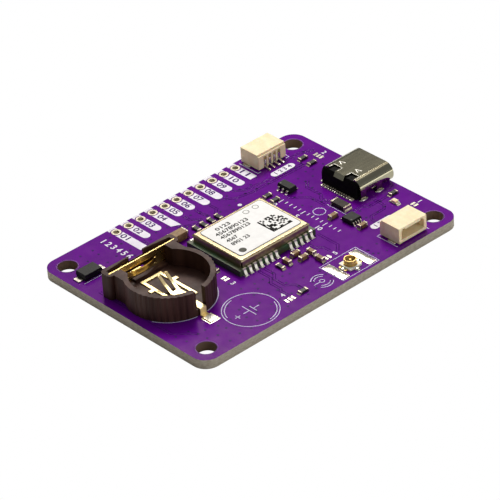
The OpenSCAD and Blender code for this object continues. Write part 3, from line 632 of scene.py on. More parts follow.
class Trees:
    """The Geometry Nodes trees that make what repeats or follows a path."""

    @staticmethod
    def started(name: str, **sockets: str) -> tuple[NodeTree, bpy.types.Node]:
        """Starts a tree.

        Args:
            name: The tree's name.
            sockets: Names and kinds of its inputs past the geometry and the material.

        Returns:
            The tree and the node that gives its inputs.
        """
        tree = NodeTree(bpy.data.node_groups.new(name, "GeometryNodeTree"))
        for title, kind in {"Geometry": "Geometry", "Material": "Material", **sockets}.items():
            tree.socket(title, kind)
        tree.socket("Geometry", "Geometry", into=False)
        return tree, tree.add("NodeGroupInput")

    @staticmethod
    def ended(tree: NodeTree, given: bpy.types.Node, shape: bpy.types.Node) -> GeometryTree:
        """Ends a tree with real geometry in its material.

        Args:
            tree: The tree.
            given: The node that gives its inputs.
            shape: The node that gives its shape.

        Returns:
            The finished tree.
        """
        real = tree.add("GeometryNodeRealizeInstances", {"Geometry": shape.outputs[0]})
        inputs = {"Geometry": real.outputs[0], "Material": given.outputs["Material"]}
        dressed = tree.add("GeometryNodeSetMaterial", inputs)
        tree.add("NodeGroupOutput", {"Geometry": dressed.outputs[0]})
        return tree.tree

    @classmethod
    @cache
    def line(cls) -> GeometryTree:
        """Lays a flat line of a given width and height along paths.

        Returns:
            The tree.
        """
        tree, given = cls.started("laid_line", Width="Float", Height="Float")
        curve = tree.add("GeometryNodeMeshToCurve", {"Mesh": given.outputs["Geometry"]})
        level = tree.add("GeometryNodeSetCurveNormal", {"Curve": curve.outputs[0]}, mode="Z_UP")
        sizes = {name: given.outputs[name] for name in ("Width", "Height")}
        profile = tree.add("GeometryNodeCurvePrimitiveQuadrilateral", sizes)
        inputs = {"Curve": level.outputs[0], "Profile Curve": profile.outputs[0], "Fill Caps": True}
        return cls.ended(tree, given, tree.add("GeometryNodeCurveToMesh", inputs))

    @classmethod
    @cache
    def stamp(cls, kind: Stamp) -> GeometryTree:
        """Stamps a unit block, disc or bead on points, each scaled by the point's size.

        Args:
            kind: What is stamped.

        Returns:
            The tree.
        """
        tree, given = cls.started(f"stamped_{kind.name.lower()}")
        maker, settings = kind.value
        unit = tree.add(maker, dict(settings))
        size = tree.add("GeometryNodeInputNamedAttribute", {"Name": "size"}, data_type="FLOAT_VECTOR")
        inputs = {
            "Points": given.outputs["Geometry"],
            "Instance": unit.outputs[0],
            "Scale": size.outputs[0],
        }
        return cls.ended(tree, given, tree.add("GeometryNodeInstanceOnPoints", inputs))

    @classmethod
    @cache
    def code_block(cls) -> GeometryTree:
        """Fills a square grid with cells, leaving a seeded share of them out.

        Returns:
            The tree.
        """
        sockets = {"Cells": "Int", "Side": "Float", "Height": "Float", "Filled": "Float"}
        tree, given = cls.started("code_block", **sockets, Seed="Int", Place="Vector")
        side, cells = given.outputs["Side"], given.outputs["Cells"]
        cell = tree.math("DIVIDE", side, cells)
        reach = tree.math("SUBTRACT", side, cell)
        sizes = {"Size X": reach, "Size Y": reach, "Vertices X": cells, "Vertices Y": cells}
        grid = tree.add("GeometryNodeMeshGrid", sizes)
        left_out = tree.math("SUBTRACT", 1.0, given.outputs["Filled"])
        odds = {"Probability": left_out, "Seed": given.outputs["Seed"]}
        chance = tree.add("FunctionNodeRandomValue", odds, data_type="BOOLEAN")
        drawn = next(socket for socket in chance.outputs if socket.enabled)
        thinning = {"Geometry": grid.outputs[0], "Selection": drawn}
        thinned = tree.add("GeometryNodeDeleteGeometry", thinning)
        ink = tree.math("MULTIPLY", cell, CELL_SHARE)
        block = tree.add("ShaderNodeCombineXYZ", {0: ink, 1: ink, 2: given.outputs["Height"]})
        cube = tree.add("GeometryNodeMeshCube", {"Size": block.outputs[0]})
        inputs = {"Points": thinned.outputs[0], "Instance": cube.outputs[0]}
        stamped = tree.add("GeometryNodeInstanceOnPoints", inputs)
        move = {"Geometry": stamped.outputs[0], "Translation": given.outputs["Place"]}
        return cls.ended(tree, given, tree.add("GeometryNodeTransform", move))


def grown(
    name: str,
    source: Mesh,
    tree: GeometryTree,
    finish: Finish,
    **values: object,
) -> Object:
    """Runs a tree on a mesh and keeps the result as a plain mesh.

    Args:
        name: The piece's name.
        source: What the tree starts from.
        tree: The Geometry Nodes tree.
        finish: What the piece wears.
        values: The tree's other inputs, by name.

    Returns:
        The new object.
    """
    obj = link(bpy.data.objects.new(name, source))
    modifier = obj.modifiers.new("grow", "NODES")
    modifier.node_group = tree
    values["Material"] = finish.material()
    for item in tree.interface.items_tree:
        if item.in_out == "INPUT" and item.name in values:
            modifier[item.identifier] = values[item.name]
    wear(plain(obj).data, finish.material())
    return obj


def pillow(
    name: str,
    plates: list[tuple[Point, Point]],
    base: float,
    rise: float,
    finish: Finish,
    steps: int = 14,
) -> Object:
    """Makes low closed domes, as melted solder stands on oblong pads.

    Args:
        name: The piece's name.
        plates: Two opposite corners of each pad, in millimetres.
        base: Height of the pads.
        rise: Height of the domes' middles above the pads.
        finish: What the domes wear.
        steps: Faces across each dome.

    Returns:
        The new object.
    """
    bm = bmesh.new()
    ramp = [2 * i / steps - 1 for i in range(steps + 1)]
    for (x0, y0), (x1, y1) in plates:
        rows = []
        for u in ramp:
            x = (x0 + x1) / 2 + u * (x1 - x0) / 2
            row = []
            for v in ramp:
                y = (y0 + y1) / 2 + v * (y1 - y0) / 2
                z = base + rise * (1 - u * u) * (1 - v**4)
                row.append(bm.verts.new((x * MM, y * MM, z * MM)))
            rows.append(row)
        for low, high in zip(rows, rows[1:]):
            for i in range(steps):
                bm.faces.new((low[i], high[i], high[i + 1], low[i + 1]))
        rim = rows[0][:-1] + [row[-1] for row in rows[:-1]]
        rim += rows[-1][:0:-1] + [row[0] for row in rows[:0:-1]]
        bm.faces.new(rim)
    bmesh.ops.recalc_face_normals(bm, faces=bm.faces)
    obj = made(name, bm, finish.material())
    smooth(obj.data)
    return obj


def stamped(name: str, kind: Stamp, marks: list[tuple[Triple, Triple]], finish: Finish) -> Object:
    """Stamps blocks, discs or beads on places.

    Args:
        name: The piece's name.
        kind: What is stamped.
        marks: Each one's middle and its width, depth and height, in millimetres.
        finish: What the piece wears.

    Returns:
        The new object.
    """
    mesh = bpy.data.meshes.new("points")
    mesh.from_pydata([[c * MM for c in place] for place, _ in marks], [], [])
    layer = mesh.attributes.new("size", "FLOAT_VECTOR", "POINT")
    layer.data.foreach_set("vector", [c * MM for _, size in marks for c in size])
    obj = grown(name, mesh, Trees.stamp(kind), finish)
    if kind is Stamp.BEAD:
        smooth(obj.data)
    return obj


def laid_line(
    name: str,
    paths: list[Path],
    on: float,
    width: float,
    height: float,
    finish: Finish,
    closed: bool = False,
) -> Object:
    """Lays flat lines along paths on a level surface.

    Args:
        name: The piece's name.
        paths: Point lists, in millimetres.
        on: Height of the surface.
        width: Width of the lines.
        height: Height of the lines above the surface.
        finish: What the lines wear.
        closed: Whether each path returns to its start.

    Returns:
        The new object.
    """
    points, edges = [], []
    for path in paths:
        base, last = len(points), len(points) + len(path) - 1
        points += [(x * MM, y * MM, on * MM) for x, y in path]
        edges += [(i, i + 1) for i in range(base, last)]
        if closed:
            edges.append((last, base))
    mesh = bpy.data.meshes.new("paths")
    mesh.from_pydata(points, edges, [])
    return grown(name, mesh, Trees.line(), finish, Width=width * MM, Height=2 * height * MM)


def joined(name: str, pieces: list[Object]) -> Object:
    """Joins objects that sit at the origin into one piece.

    Args:
        name: The new piece's name.
        pieces: Objects that wear the same finish.

    Returns:
        The new object.
    """
    bm = bmesh.new()
    material = pieces[0].data.materials[0]
    for piece in pieces:
        bm.from_mesh(piece.data)
    for piece in pieces:
        bpy.data.objects.remove(piece)
    return made(name, bm, material)


def figures(
    text: str,
    size: float,
    place: Triple,
    turn: float,
    height: float,
    finish: Finish,
    length: float | None = None,
) -> Object:
    """Makes plain figures as a thin mesh on a level surface.

    Args:
        text: The figures.
        size: Height of the figures.
        place: Middle of the text, in millimetres.
        turn: Direction of reading, in degrees from +X.
        height: Height of the print above its surface.
        finish: What the figures wear.
        length: Length that the text is drawn out to, where one is given.

    Returns:
        The new object, with its place in its mesh.
    """
    curve = bpy.data.curves.new("figures", "FONT")
    curve.body = text
    curve.size = size * FONT_RATIO * MM
    curve.align_x = "CENTER"
    curve.align_y = "CENTER"
    curve.extrude = height * MM
    curve.offset = FONT_WEIGHT * size * MM
    curve.resolution_u = 3
    drawn = link(bpy.data.objects.new("figures", curve))
    mesh = evaluated(drawn)
    bpy.data.objects.remove(drawn)
    if length:
        across = [v.co.x for v in mesh.vertices]
        mesh.transform(Matrix.Scale(length * MM / (max(across) - min(across)), 4, (1, 0, 0)))
    spot = Vector([c * MM for c in place])
    mesh.transform(Matrix.Translation(spot) @ Matrix.Rotation(math.radians(turn), 4, "Z"))
    wear(mesh, finish.material())
    return link(bpy.data.objects.new("figures", mesh))


@dataclass(frozen=True)
class Box:
    """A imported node's box, in millimetres."""

    low: Vector
    high: Vector

    @classmethod
    def of(cls, node: str) -> "Box":
        """Reads a node's box from the frame."""
        low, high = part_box(node)
        return cls(low / MM, high / MM)

    @property
    def middle(self) -> Vector:
        """Middle of the box."""
        return (self.low + self.high) / 2


@dataclass
class Assembly:
    """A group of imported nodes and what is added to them."""

    nodes: dict[str, Object]
    top: float = field(init=False)

    def __post_init__(self) -> None:
        """Reads the height of the board's upper face."""
        self.top = Box.of("circuit_board").high.z

    def dress(self, finish: Finish | BoardFinish, *names: str) -> None:
        """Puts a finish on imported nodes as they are.

        Args:
            finish: What they wear.
            names: The nodes.
        """
        for name in names:
            data = self.nodes[name].data
            if not data.materials:
                data.materials.append(finish.material())
            for index in range(len(data.materials)):
                data.materials[index] = finish.material()

    def softened(self, name: str, finish: Finish, width: float, segments: int = 2) -> Object:
        """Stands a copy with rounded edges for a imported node.

        Args:
            name: The node.
            finish: What the copy wears.
            width: Width of the rounding, in millimetres.
            segments: Faces across the rounding.

        Returns:
            The copy.
        """
        mesh = self.nodes[name].data.copy()
        if "custom_normal" in mesh.attributes:
            mesh.attributes.remove(mesh.attributes["custom_normal"])
        bm = bmesh.new()
        bm.from_mesh(mesh)
        bmesh.ops.remove_doubles(bm, verts=bm.verts, dist=MERGE_REACH)
        flat_angle = math.radians(FLAT_ANGLE)
        bmesh.ops.dissolve_limit(bm, angle_limit=flat_angle, verts=bm.verts, edges=bm.edges)
        bm.to_mesh(mesh)
        bm.free()
        wear(mesh, finish.material())
        smooth(mesh)
        obj = link(bpy.data.objects.new(f"{name}_soft", mesh))
        bevel = obj.modifiers.new("rounding", "BEVEL")
        bevel.width = width * MM
        bevel.segments = segments
        bevel.limit_method = "ANGLE"
        bevel.angle_limit = math.radians(BEVEL_ANGLE)
        bevel.miter_outer = "MITER_ARC"
        flat = obj.modifiers.new("flat_faces", "WEIGHTED_NORMAL")
        flat.weight = 100
        flat.keep_sharp = True
        return keep(plain(obj), finish, name)


# Sub-assemblies


class BarEnd(Enum):
    """How a printed bar ends."""

    ROUND = "round"
    POINT = "point"
    SQUARE = "square"
    SLANT = "slant"


@dataclass
class BoardFaces(Assembly):
    """The board's own surfaces: mask, routes under it, covered vias and bare pads."""

    gap_width: float = 0.16
    route_width: float = 0.4
    mitre_least: float = 0.4
    relief: float = 0.012
    via_d: float = 0.42
    via_pitch: float = 2.1
    via_jitter: float = 0.55
    via_seed: int = 11
    via_gap: float = 0.6
    edge_gap: float = 1.0
    wide_piece: float = 24.0
    stitch_pitch: float = 1.06
    rim_width: float = 0.22
    antenna_pad_w: float = 1.6
    solder_rise: float = 0.13
    solder_sink: float = 0.005
    hole_r: float = 1.6
    hole_inset: float = 3.0

    # The via fence's sides from the antenna connector's middle, and its second rear row
    fence_x: Point = (-4.3, 4.6)
    fence_y: Point = (-1.6, 3.6)
    second_row_x: Point = (0.5, 3.2)
    second_row_y: float = 1.1

    # Middle lines of routes in the upper copper, as far as they show past the pieces
    routes: list[Path] = field(
        default_factory=lambda: [
            [(-4.9, -6.9), (-4.9, -9.6), (-5.9, -10.7), (-5.9, -12.9), (-6.3, -13.3), (-6.3, -15.2)],
            [(-3.8, -6.9), (-3.8, -9.2), (-4.8, -10.3), (-4.8, -12.6), (-3.6, -13.8), (-3.6, -15.2)],
            [(-5.0, 13.5), (-5.0, 11.4), (-2.1, 9.9)],
            [(-2.4, 13.4), (-2.4, 11.8), (-1.0, 10.3)],
            [(0.1, 13.2), (0.1, 11.6), (0.4, 10.2)],
            [(2.6, 12.6), (2.6, 10.9), (1.0, 9.6)],
            [(5.2, 12.4), (6.6, 11.0), (9.6, 10.4), (21.4, 9.95)],
            [(7.7, 13.0), (9.3, 11.7), (14.4, 11.0), (14.9, 10.6), (21.0, 10.6)],
            [(12.3, 5.0), (14.9, 2.4), (14.9, -1.2)],
            [(18.0, 6.2), (16.6, 4.9), (16.6, 1.6), (15.9, 0.9), (15.9, -0.9)],
            [(19.2, 12.9), (20.8, 13.3), (22.9, 13.3), (25.2, 12.2)],
            [(21.2, -5.6), (21.2, -7.9), (20.4, -8.7), (17.6, -8.7), (16.9, -9.4), (16.9, -12.0)],
            [(15.9, -5.6), (18.4, -5.6), (19.3, -6.5), (23.9, -6.5)],
            [(8.4, -6.0), (8.4, -10.6), (7.2, -11.8)],
            [(5.4, -7.2), (5.4, -8.6), (6.4, -9.6), (6.4, -11.0)],
            [(-25.2, 6.9), (-25.2, -9.4), (-22.4, -12.4)],
            [(-9.2, 4.4), (-9.2, 7.9), (-11.3, 10.0), (-11.3, 12.9)],
        ]
    )

    def build(self) -> None:
        """Dresses the board and its bare metal."""
        self.dress(Looks.board, "circuit_board")
        self.dress(Looks.pad_gold, "header_barrels")
        self.dress(Looks.pad_tin, "jumper_pads", "antenna_pads")
        self.tin_antenna_pads()
        self.lay_routes()
        self.lay_vias()
        self.ring_holes()

    def tin_antenna_pads(self) -> None:
        """Stands a dome of solder on each of the two long pads."""
        pads = Box.of("antenna_pads")
        plates = []
        for x in (pads.low.x, pads.high.x - self.antenna_pad_w):
            plates.append(((x, pads.low.y), (x + self.antenna_pad_w, pads.high.y)))
        base = pads.high.z - self.solder_sink
        keep(pillow("antenna_solder", plates, base, self.solder_rise, Looks.dome_tin), Looks.dome_tin)

    def lay_routes(self) -> None:
        """Draws each route by the two gaps beside it in the copper."""
        reach = self.route_width / 2
        sides = [self.beside(route, side * reach) for route in self.routes for side in (-1, 1)]
        gaps = laid_line("route_gaps", sides, self.top, self.gap_width, self.relief, Looks.route_gap)
        keep(gaps, Looks.route_gap)

    def beside(self, path: Path, offset: float) -> Path:
        """Moves a path sideways by an offset, with mitred corners.

        Args:
            path: The points.
            offset: Distance to the left of the path's direction.

        Returns:
            The moved points.
        """
        moved = []
        for i, (x, y) in enumerate(path):
            before = Vector(path[i]) - Vector(path[i - 1]) if i else None
            after = Vector(path[i + 1]) - Vector(path[i]) if i + 1 < len(path) else None
            first = (before or after).normalized()
            second = (after or before).normalized()
            bisector = Vector((-first.y - second.y, first.x + second.x)).normalized()
            reach = offset / max(self.mitre_least, bisector.dot(Vector((-first.y, first.x))))
            moved.append((x + bisector.x * reach, y + bisector.y * reach))
        return moved

    def lay_vias(self) -> None:
        """Stamps covered vias on both faces, clear of everything that stands on the board."""
        draw = random.Random(self.via_seed)
        blocks = [Box.of(name) for name in self.nodes if name != "circuit_board"]
        edge = Box.of("circuit_board")
        places = []
        columns = int((edge.high.x - edge.low.x) / self.via_pitch)
        rows = int((edge.high.y - edge.low.y) / self.via_pitch)
        for i in range(1, columns):
            for j in range(1, rows):
                x = edge.low.x + i * self.via_pitch + draw.uniform(-1, 1) * self.via_jitter
                y = edge.low.y + j * self.via_pitch + draw.uniform(-1, 1) * self.via_jitter
                places.append((x, y))
        places += self.stitches()
        places = [spot for spot in places if self.is_clear(*spot, blocks, edge)]
        size = (self.via_d, self.via_d, 2 * self.relief)
        for name, height in (("via_tents", self.top), ("via_tents_under", 0.0)):
            vias = [((x, y, height), size) for x, y in places]
            keep(stamped(name, Stamp.DISC, vias, Looks.via_tent), Looks.via_tent)

    def stitches(self) -> list[Point]:
        """Lays rows of vias that fence the antenna connector's ground.

        Returns:
            The vias' places.
        """
        coax = Box.of("coax_base").middle
        left, right = (coax.x + side for side in self.fence_x)
        front, back = (coax.y + side for side in self.fence_y)
        start, end = left + self.second_row_x[0], right + self.second_row_x[1]
        second = back + self.second_row_y
        rows = [
            ((left, back), (right, back)),
            ((start, second), (end, second)),
            ((right, back), (right, front)),
            ((left, back), (left, front)),
        ]
        places = []
        for first, last in rows:
            run = Vector(last) - Vector(first)
            count = int(run.length / self.stitch_pitch)
            places += [tuple(Vector(first) + run * i / count) for i in range(1, count)]
        return places

    def is_clear(self, x: float, y: float, blocks: list[Box], edge: Box) -> bool:
        """Says whether a via misses the holes, the edge and the pieces.

        Args:
            x: The via's place along the board.
            y: Its place across the board.
            blocks: Boxes of the pieces.
            edge: The board's box.

        Returns:
            True where the via is clear.
        """
        gap = self.via_gap
        if abs(x) > edge.high.x - self.edge_gap or abs(y) > edge.high.y - self.edge_gap:
            return False
        hole = (edge.high.x - self.hole_inset, edge.high.y - self.hole_inset)
        if math.hypot(abs(x) - hole[0], abs(y) - hole[1]) < self.hole_r + gap:
            return False
        small = [b for b in blocks if (b.high - b.low).xy.length < self.wide_piece]
        return not any(
            b.low.x - gap < x < b.high.x + gap and b.low.y - gap < y < b.high.y + gap for b in small
        )

    def ring_holes(self) -> None:
        """Rings the mounting holes where the mask stops short of them."""
        edge = Box.of("circuit_board").high
        x, y = edge.x - self.hole_inset, edge.y - self.hole_inset
        radius = self.hole_r + self.rim_width / 2
        rings = [ring((sx * x, sy * y), radius, 48) for sx in (-1, 1) for sy in (-1, 1)]
        sizes = (self.rim_width, self.relief)
        for name, height in (("hole_rims", self.top), ("hole_rims_under", 0.0)):
            keep(laid_line(name, rings, height, *sizes, Looks.hole_rim, closed=True), Looks.hole_rim)


@dataclass
class Legend(Assembly):
    """The white print on the board: bars, lines, signs, plain figures and a scale."""

    thickness: float = 0.02
    figure_t: float = 0.006
    line_w: float = 0.14
    reading: float = -90.0

    # Bars from the header holes: each one's inner end, and the figures that it leaves open
    bar_w: float = 1.5
    pad_clear_r: float = 0.97
    tail_gap: float = 0.03
    point_rise: float = 0.5
    point_w: float = 0.45
    slant: Point = (0.9, -0.1)
    bar_ends: tuple[tuple[float, BarEnd], ...] = (
        (11.0, BarEnd.SQUARE),
        (12.8, BarEnd.ROUND),
        (13.1, BarEnd.ROUND),
        (11.8, BarEnd.SLANT),
        (13.7, BarEnd.ROUND),
        (13.65, BarEnd.ROUND),
        (12.95, BarEnd.ROUND),
        (12.7, BarEnd.ROUND),
        (13.3, BarEnd.POINT),
        (13.1, BarEnd.POINT),
        (13.3, BarEnd.SQUARE),
    )
    pin_h: float = 1.1
    pin_l: float = 1.75
    pin_inset: float = 2.25

    # Rounded bars behind the cable sockets, each with four open figures, and a lone dot
    pills: tuple[Point, ...] = ((17.6, 11.55), (17.6, -11.2))
    pill_size: Point = (4.9, 1.35)
    pill_first: float = -1.5
    pill_h: float = 0.85
    pill_count: int = 4
    dot: Point = (5.85, 9.05)
    dot_r: float = 0.35

    # The cell's sign, as strokes from its middle, and the arcs round the holder's cup
    cell_sign: Point = (-12.8, -13.6)
    cell_sign_r: float = 4.43
    cell_sign_gap: float = 0.45
    cell_arcs: tuple[Point, ...] = ((95, 165), (-85, -15))
    cell_strokes: tuple[tuple[Point, Point], ...] = (
        ((-3.15, 0.0), (-2.15, 0.0)),
        ((-2.65, -0.5), (-2.65, 0.5)),
        ((-0.3, -1.6), (-0.3, 1.6)),
        ((0.5, -0.8), (0.5, 0.8)),
        ((-1.5, 0.0), (-0.3, 0.0)),
        ((0.5, 0.0), (1.7, 0.0)),
    )
    cup_r: float = 7.13
    cup_line_r: float = 7.22
    cup_arcs: tuple[Point, ...] = ((-155, -98), (-82, 20))

    # The radio sign, the antenna connector's frame and the other lines
    radio_sign: Point = (-0.18, -16.0)
    radio_r: float = 0.4
    radio_stem: Point = (-0.42, -1.7)
    radio_waves: tuple[float, ...] = (1.25, 1.75)
    radio_starts: tuple[float, ...] = (40, 220)
    radio_sweep: float = 100
    coax_x: Point = (-3.75, 3.95)
    coax_y: Point = (-2.3, 3.0)
    plain_ring: Point = (13.0, -1.7)
    plain_ring_r: float = 1.0
    lone_lines: tuple[tuple[Point, Point], ...] = (
        ((-25.4, 10.3), (-20.9, 10.3)),
        ((15.25, -5.4), (15.25, -1.1)),
    )
    corner_gap: float = 0.45
    corner_l: float = 0.7
    corner_back: float = 0.2

    # A millimetre scale, with every fifth tick longer and numbered
    scale_start: Point = (11.6, 5.0)
    scale_ticks: int = 14
    scale_step: int = 5
    long_tick: float = 1.1
    short_tick: float = 0.65
    scale_h: float = 0.95
    scale_inset: float = 2.0

    # Figures at the jumpers, with the way they read, and a counted column
    jumpers: tuple[Triple, ...] = (
        (25.7, -11.3, -90),
        (25.7, 10.4, -90),
        (-9.8, -6.4, -90),
        (-6.9, -14.4, 0),
        (6.5, -12.0, 0),
    )
    jumper_h: float = 0.9
    column: Point = (-15.7, 17.2)
    column_h: float = 1.2
    column_pitch: float = 1.25
    column_count: int = 6

    def build(self) -> None:
        """Prints the whole legend."""
        self.print_bars()
        self.print_lines()
        self.print_scale()
        self.print_open_figures()
        self.print_figures()

    def pad_places(self) -> list[Point]:
        """Works out the header holes from the barrels' box.

        Returns:
            The holes' centres.
        """
        row = Box.of("header_barrels")
        width = row.high.y - row.low.y
        count = len(self.bar_ends)
        first = row.low.x + width / 2
        pitch = (row.high.x - row.low.x - width) / (count - 1)
        return [(first + i * pitch, row.middle.y) for i in range(count)]

    def print_bars(self) -> None:
        """Prints a bar from each header pad inwards, and its short tail out to the board's edge."""
        edge = Box.of("circuit_board").high.y - self.tail_gap
        half = self.bar_w / 2
        corner = math.degrees(math.acos(half / self.pad_clear_r))
        outlines = []
        for (x, y), (end, shape) in zip(self.pad_places(), self.bar_ends):
            mouth = arc((x, y), self.pad_clear_r, 180 + corner, 360 - corner, 12)
            outlines.append(self.bar_end(x, end, half, shape) + list(reversed(mouth)))
            tail = arc((x, y), self.pad_clear_r, corner, 180 - corner, 12)
            outlines.append([(x - half, edge), *reversed(tail), (x + half, edge)][::-1])
        outlines += [self.pill(centre, *self.pill_size) for centre in self.pills]
        outlines.append(arc(self.dot, self.dot_r, 0, 350, 23))
        high = self.top + self.thickness
        keep(slab("legend_bars", outlines, self.top, high, Looks.legend), Looks.legend)

    def bar_end(self, x: float, end: float, half: float, shape: BarEnd) -> Path:
        """Draws the inner end of a bar.

        Args:
            x: Middle of the bar.
            end: Where the bar ends.
            half: Half the bar's width.
            shape: How the bar ends.

        Returns:
            The end's corners, from the left side to the right.
        """
        if shape is BarEnd.ROUND:
            return arc((x, end + half), half, 180, 360, 14)
        if shape is BarEnd.POINT:
            nose, shoulder = self.point_w * half, end + self.point_rise * half
            return [(x - half, shoulder), (x - nose, end), (x + nose, end), (x + half, shoulder)]
        if shape is BarEnd.SLANT:
            left, right = (end + share * half for share in self.slant)
            return [(x - half, left), (x + half, right)]
        return [(x - half, end), (x + half, end)]

    @staticmethod
    def pill(centre: Point, length: float, width: float) -> Path:
        """Draws a bar with two round ends, along X.

        Args:
            centre: Middle of the bar.
            length: Length of the bar.
            width: Width of the bar.

        Returns:
            The outline.
        """
        reach = (length - width) / 2
        right = arc((centre[0] + reach, centre[1]), width / 2, -90, 90, 12)
        return right + arc((centre[0] - reach, centre[1]), width / 2, 90, 270, 12)

    def print_lines(self) -> None:
        """Prints outlines, rings and signs."""
        holder = Box.of("holder_body")
        cup = (holder.middle.x, holder.low.y + self.cup_r)
        cx, cy = self.cell_sign
        rx, ry = self.radio_sign
        coax = Box.of("coax_base").middle
        inner_r = self.cell_sign_r - self.cell_sign_gap
        paths = [arc(self.cell_sign, inner_r, *span) for span in self.cell_arcs]
        paths += [[(cx + x, cy + y) for x, y in stroke] for stroke in self.cell_strokes]
        paths += [arc(cup, self.cup_line_r, *span) for span in self.cup_arcs]
        paths.append([(rx + x, ry) for x in self.radio_stem])
        paths += [list(line) for line in self.lone_lines]
        for radius in self.radio_waves:
            paths += [arc((rx, ry), radius, a, a + self.radio_sweep) for a in self.radio_starts]
        for name in ("rear_socket_housing", "front_socket_housing"):
            paths += self.socket_corners(Box.of(name))
        left, right = (coax.x + side for side in self.coax_x)
        front, back = (coax.y + side for side in self.coax_y)
        loops = [
            ring(self.cell_sign, self.cell_sign_r, 60),
            ring(self.radio_sign, self.radio_r, 24),
            [(left, front), (right, front), (right, back), (left, back)],
            ring(self.plain_ring, self.plain_ring_r, 36),
        ]
        sizes = (self.top, self.line_w, self.thickness)
        lines = [
            laid_line("open_lines", paths, *sizes, Looks.legend_line),
            laid_line("closed_lines", loops, *sizes, Looks.legend_line, closed=True),
        ]
        keep(joined("legend_lines", lines), Looks.legend_line)

    def socket_corners(self, housing: Box) -> list[Path]:
        """Draws two corner marks behind a cable socket.

        Args:
            housing: The socket's box.

        Returns:
            The marks' lines.
        """
        x0, x1 = housing.low.x - self.corner_gap, housing.high.x + self.corner_gap
        y0, y1 = housing.low.y, housing.high.y
        if housing.middle.y > 0:
            inner, outer = y0 - self.corner_back, y1
        else:
            inner, outer = y1 + self.corner_back, y0
        ends = ((x0, x0 + self.corner_l), (x1, x1 - self.corner_l))
        return [[(end, inner), (x, inner), (x, outer)] for x, end in ends]

    def print_scale(self) -> None:
        """Prints a scale with one tick for each millimetre."""
        x, y = self.scale_start
        ticks = []
        for i in range(self.scale_ticks):
            length = self.long_tick if i % self.scale_step == 0 else self.short_tick
            size = (length, self.line_w, 2 * self.thickness)
            ticks.append(((x - length / 2, y - i, self.top), size))
        keep(stamped("legend_scale", Stamp.BLOCK, ticks, Looks.legend), Looks.legend)

    def print_open_figures(self) -> None:
        """Prints pin numbers in the colour of the mask on the bars and the rounded bars."""
        high = self.top + self.thickness
        ink = (self.figure_t, Looks.clearance)
        pins = []
        for number, (x, y) in enumerate(self.pad_places(), start=1):
            place = (x, y - self.pin_inset, high)
            pins.append(figures(f"{number:02}", self.pin_h, place, self.reading, *ink, self.pin_l))
        for x, y in self.pills:
            for i in range(self.pill_count):
                place = (x + self.pill_first + i, y, high)
                pins.append(figures(str(i + 1), self.pill_h, place, 0, *ink))
        keep(joined("pin_figures", pins), Looks.clearance)

    def print_figures(self) -> None:
        """Prints white figures at the jumpers, along the scale and in a column."""
        spots = []
        for i, (x, y, turn) in enumerate(self.jumpers):
            spots.append((i + 1, self.jumper_h, x, y, turn))
        for i in range(0, self.scale_ticks, self.scale_step):
            x, y = self.scale_start
            spots.append((i, self.scale_h, x - self.scale_inset, y - i, self.reading))
        for i in range(self.column_count):
            x, y = self.column
            spots.append((i + 1, self.column_h, x, y - self.column_pitch * i, self.reading))
        marks = [
            figures(str(number), size, (x, y, self.top), turn, self.thickness, Looks.legend)
            for number, size, x, y, turn in spots
        ]
        keep(joined("jumper_figures", marks), Looks.legend)


